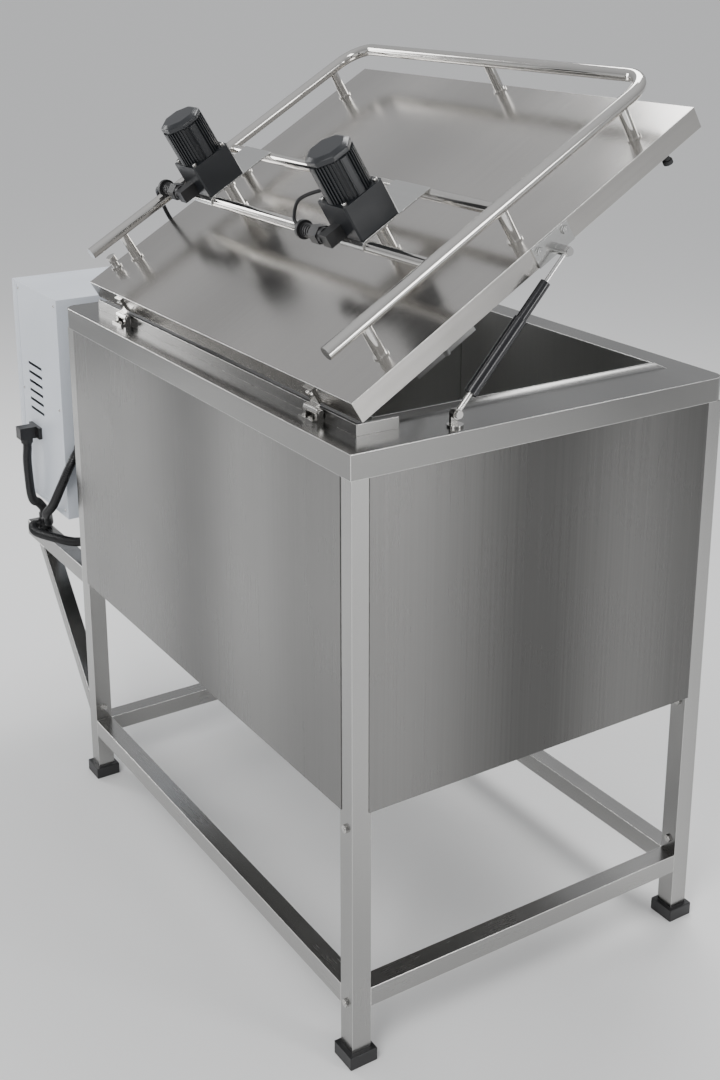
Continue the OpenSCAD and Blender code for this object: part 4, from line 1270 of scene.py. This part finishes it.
@dataclass
class GasStruts:
    """Black sleeves with a step, polished ends and the eyes that they turn on."""

    stub: float = 40 * MM
    slack: float = 0.4 * MM
    rounding: float = 0.6 * MM

    def split(self, softener: EdgeSoftener, side: str, paint: Paintshop) -> None:
        """Softens a strut's tube and gives its lower end the polished finish.

        Args:
            softener: Makes the copy.
            side: near or far.
            paint: Where the finishes come from.
        """
        piece = softener.soften(f"strut_tube_{side}", self.rounding)
        pivot = Vector(joint(f"strut_swing_{side}")["pos_m"])
        along = Vector(joint(f"strut_slide_{side}")["axis"]).normalized()
        if along.z < 0:
            along = -along
        reach = self.stub - self.slack
        low = {face.index for face in piece.data.polygons if (face.center - pivot).dot(along) < reach}
        piece.data.materials.append(paint.made["fixings"])
        for face in piece.data.polygons:
            face.material_index = 1 if face.index in low else 0

    def build(self, softener: EdgeSoftener, paint: Paintshop) -> None:
        """Finishes both struts.

        Args:
            softener: Makes the softened copies.
            paint: Where the finishes come from.
        """
        for side in ("near", "far"):
            self.split(softener, side, paint)


@dataclass
class VesselSeam:
    """The weld that runs down the vessel's front wall."""

    offset: float = 120 * MM
    width: float = 4 * MM
    proud: float = 0.7 * MM
    sunk: float = 0.2 * MM
    above_bottom: float = 60 * MM
    below_top: float = 4 * MM
    facets: int = 8

    def build(self, paint: Paintshop) -> None:
        """Lays the bead on the wall's inner face.

        Args:
            paint: Where the finishes come from.
        """
        lo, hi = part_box("vessel")
        middle = (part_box("legs")[0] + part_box("legs")[1]) / 2
        across = middle.x + self.offset
        start = Vector((across, (lo.y + hi.y) / 2, (lo.z + hi.z) / 2))
        mesh = NODES["vessel"].data
        tree = BVHTree.FromPolygons([v.co for v in mesh.vertices], [p.vertices for p in mesh.polygons])
        place = tree.ray_cast(start, Vector((0, -1, 0)))[0]
        wall = place.y if place else lo.y
        low, high = lo.z + self.above_bottom, hi.z - self.below_top
        shape = bmesh.new()
        arc = [math.pi * k / self.facets for k in range(self.facets + 1)]
        plan = [(self.width / 2 * math.cos(a), self.proud * math.sin(a)) for a in arc]
        plan = [(plan[0][0], -self.sunk)] + plan + [(plan[-1][0], -self.sunk)]
        prism(shape, *([Vector((across + x, wall + y, z)) for x, y in plan] for z in (low, high)))
        bead = piece_from("vessel_seam", to_mesh(shape, "vessel_seam"), paint.made["fixings"])
        attach(bead, "tank")


@dataclass
class SmallFixings:
    """Domed screws that hold the cabinet's side panel."""

    radius: float = 3.2 * MM
    height: float = 2.2 * MM
    inset: float = 8 * MM

    def dome(self) -> bpy.types.Object:
        """Returns a domed screw head.

        Returns:
            The object.
        """
        radius, height = self.radius, self.height
        profile = [(0, -0.3 * MM), (radius, -0.3 * MM), (radius, height * 0.25), (radius * 0.8, height * 0.7),
                   (radius * 0.45, height), (radius * 0.3, height), (radius * 0.3, height * 0.5), (0, height * 0.5)]
        return piece_from("dome", to_mesh(revolved(profile, 20), "dome", True))

    def build(self, paint: Paintshop, patterns: Patterns) -> None:
        """Sets the screws round the panel's edge, heads outwards.

        Args:
            paint: Where the finishes come from.
            patterns: The shared Geometry Nodes trees.
        """
        lo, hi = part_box("louvre_panel")
        flat = [(x - lo.x, z - lo.z, 0.0) for x in (lo.x + self.inset, hi.x - self.inset)
                for z in (lo.z + self.inset, (lo.z + hi.z) / 2, hi.z - self.inset)]
        part = self.dome()
        mesh = patterns.scatter.grow("panel_screws", point_cloud(flat), paint.made["fixings"], Part=part, Size=1.0)
        bpy.data.objects.remove(part)
        mesh.transform(Matrix(((1, 0, 0, lo.x), (0, 0, 1, hi.y), (0, 1, 0, lo.z), (0, 0, 0, 1))))
        mesh.flip_normals()
        attach(piece_from("panel_screws", mesh), "tank")


@dataclass
class Studio:
    """Pale floor, soft lights and the camera."""

    place: Point = (-2.5463, 1.5173, 1.8761)
    right: Point = (-0.5393349, -0.8420914, 0.0001358)
    up: Point = (0.2413308, -0.1544108, 0.9580797)
    back: Point = (-0.8067695, 0.5167586, 0.2865018)
    lens: float = 48.67
    shift: float = -0.1389
    wall_glow: float = 0.4
    ceiling_glow: float = 0.75
    backdrop_glow: float = 1.9
    floor_reach: float = 60.0
    floor_colour: Colour = (0.9, 0.9, 0.895)
    floor_roughness: float = 0.8
    daylight: Colour = (0.97, 0.98, 1.0)

    def camera(self) -> None:
        """Makes the camera at the tank's near hinge corner, above rim height."""
        data = bpy.data.cameras.new("camera")
        data.lens = self.lens
        data.sensor_width = 36.0
        data.shift_y = self.shift
        obj = bpy.data.objects.new("camera", data)
        bpy.context.scene.collection.objects.link(obj)
        rows = list(zip(self.right, self.up, self.back, self.place))
        obj.matrix_world = Matrix((*rows, (0, 0, 0, 1)))
        bpy.context.scene.camera = obj

    def floor(self) -> None:
        """Lays a plain pale floor."""
        shape = bmesh.new()
        bmesh.ops.create_grid(shape, x_segments=2, y_segments=2, size=self.floor_reach)
        draft = MaterialDraft("studio_floor")
        draft.base(metallic=0.0)
        draft.shader.inputs["Base Color"].default_value = (*self.floor_colour, 1.0)
        draft.shader.inputs["Roughness"].default_value = self.floor_roughness
        obj = piece_from("studio_floor", to_mesh(shape, "studio_floor"), draft.material)

    def light(self, name: str, place: Point, aim: Point, size: tuple[float, float], watts: float) -> None:
        """Hangs a rectangular soft light.

        Args:
            name: Its name.
            place: Where it hangs.
            aim: Where it points.
            size: Width and height in metres.
            watts: Its power.
        """
        data = bpy.data.lights.new(name, "AREA")
        data.shape = "RECTANGLE"
        data.size, data.size_y = size
        data.energy = watts
        obj = bpy.data.objects.new(name, data)
        obj.location = place
        obj.rotation_mode = "QUATERNION"
        obj.rotation_quaternion = (Vector(aim) - Vector(place)).to_track_quat("-Z", "Y")
        bpy.context.scene.collection.objects.link(obj)

    def sky(self, graph: ShaderGraph, background: bpy.types.Node) -> None:
        """Sets a white backdrop for the eye and a dim room with a lighter ceiling for the metal.

        Args:
            graph: The world's tree.
            background: Its background shader.
        """
        direction = graph.add("ShaderNodeTexCoord").outputs["Generated"]
        parts = graph.add("ShaderNodeSeparateXYZ")
        graph.link(direction, parts.inputs[0])
        ceiling = graph.remap(parts.outputs["Z"], self.wall_glow, self.ceiling_glow, 0.0, 0.9)
        seen = graph.add("ShaderNodeLightPath").outputs["Is Camera Ray"]
        choice = graph.add("ShaderNodeMix", data_type="FLOAT")
        choice.inputs[3].default_value = self.backdrop_glow
        graph.link(seen, choice.inputs[0])
        graph.link(ceiling, choice.inputs[2])
        graph.link(choice.outputs[0], background.inputs["Strength"])
        background.inputs["Color"].default_value = (*self.daylight, 1.0)

    def build(self) -> None:
        """Sets up the floor, the world and the lights."""
        self.floor()
        world = bpy.data.worlds.new("studio")
        world.use_nodes = True
        self.sky(ShaderGraph(world.node_tree), world.node_tree.nodes["Background"])
        bpy.context.scene.world = world
        self.light("key", (-2.2, 3.0, 3.4), (0.0, 0.2, 0.8), (1.6, 2.4), 95.0)
        self.light("top", (0.9, -1.6, 3.8), (0.1, 0.0, 1.0), (2.0, 1.6), 80.0)
        self.light("side", (-4.0, -1.4, 1.6), (-0.6, 0.0, 0.8), (0.8, 2.4), 45.0)
        self.light("far", (3.4, 1.6, 1.8), (0.4, 0.0, 0.8), (0.7, 2.6), 40.0)


def soften_all(softener: EdgeSoftener) -> None:
    """Rounds the edges of the nodes that show, each by its own metal's bend.

    Args:
        softener: The tool that makes the copies.
    """
    widths: dict[float, tuple[str, ...]] = {
        2.6 * MM: ("legs", "long_stretchers", "short_stretchers", "bracket_arms", "arm_braces"),
        2.2 * MM: ("rim", "lid_shell"),
        1.4 * MM: ("cabinet_shell", "cabinet_door"),
        0.45 * MM: ("panel_hinge_side", "panel_front", "panel_near_end", "panel_far_end", "louvre_panel",
                    "hinge_strip", "motor_plates", "strut_plates", "strut_feet", "hinge_bases", "hinge_leaves",
                    "hinge_pins", "door_hinges", "door_lock", "frame_bolts", "rail_posts", "vessel",
                    "shaft_sleeves", "lid_vent", "cabinet_rails", "valve_body", "valve_lever"),
        0.8 * MM: ("strut_rod_near", "strut_rod_far", "lead_glands", "conduit_glands", "lid_bumpers", "lid_seal"),
        1.8 * MM: ("feet", "gearbox_near", "gearbox_far", "fan_covers"),
    }
    # These nodes get a lighter steel on their rounded edges: a painted highlight along each edge.
    painted_highlight_nodes = ("legs", "long_stretchers", "short_stretchers", "bracket_arms", "rim", "lid_shell", "hinge_strip")
    for width, names in widths.items():
        for name in names:
            softener.soften(name, width, edge="painted_edge_highlight" if name in painted_highlight_nodes else None)


def main() -> None:
    """Builds the camera, the finishes, the sub-assemblies and the studio, in that order."""
    logging.basicConfig(level=logging.INFO, format="%(name)s %(message)s")
    studio = Studio()
    studio.camera()
    paint = Paintshop()
    paint.dress_nodes()
    patterns = Patterns()
    lid = LidFrame()
    softener = EdgeSoftener(paint)
    soften_all(softener)
    GasStruts().build(softener, paint)
    LidTubes().build(lid, paint)
    VesselSeam().build(paint)
    Conduits().build(paint, patterns)
    MotorLeads().build(lid, paint)
    Drives().build(lid, paint, patterns)
    SmallFixings().build(paint, patterns)
    studio.build()


if __name__ == "__main__":
    main()
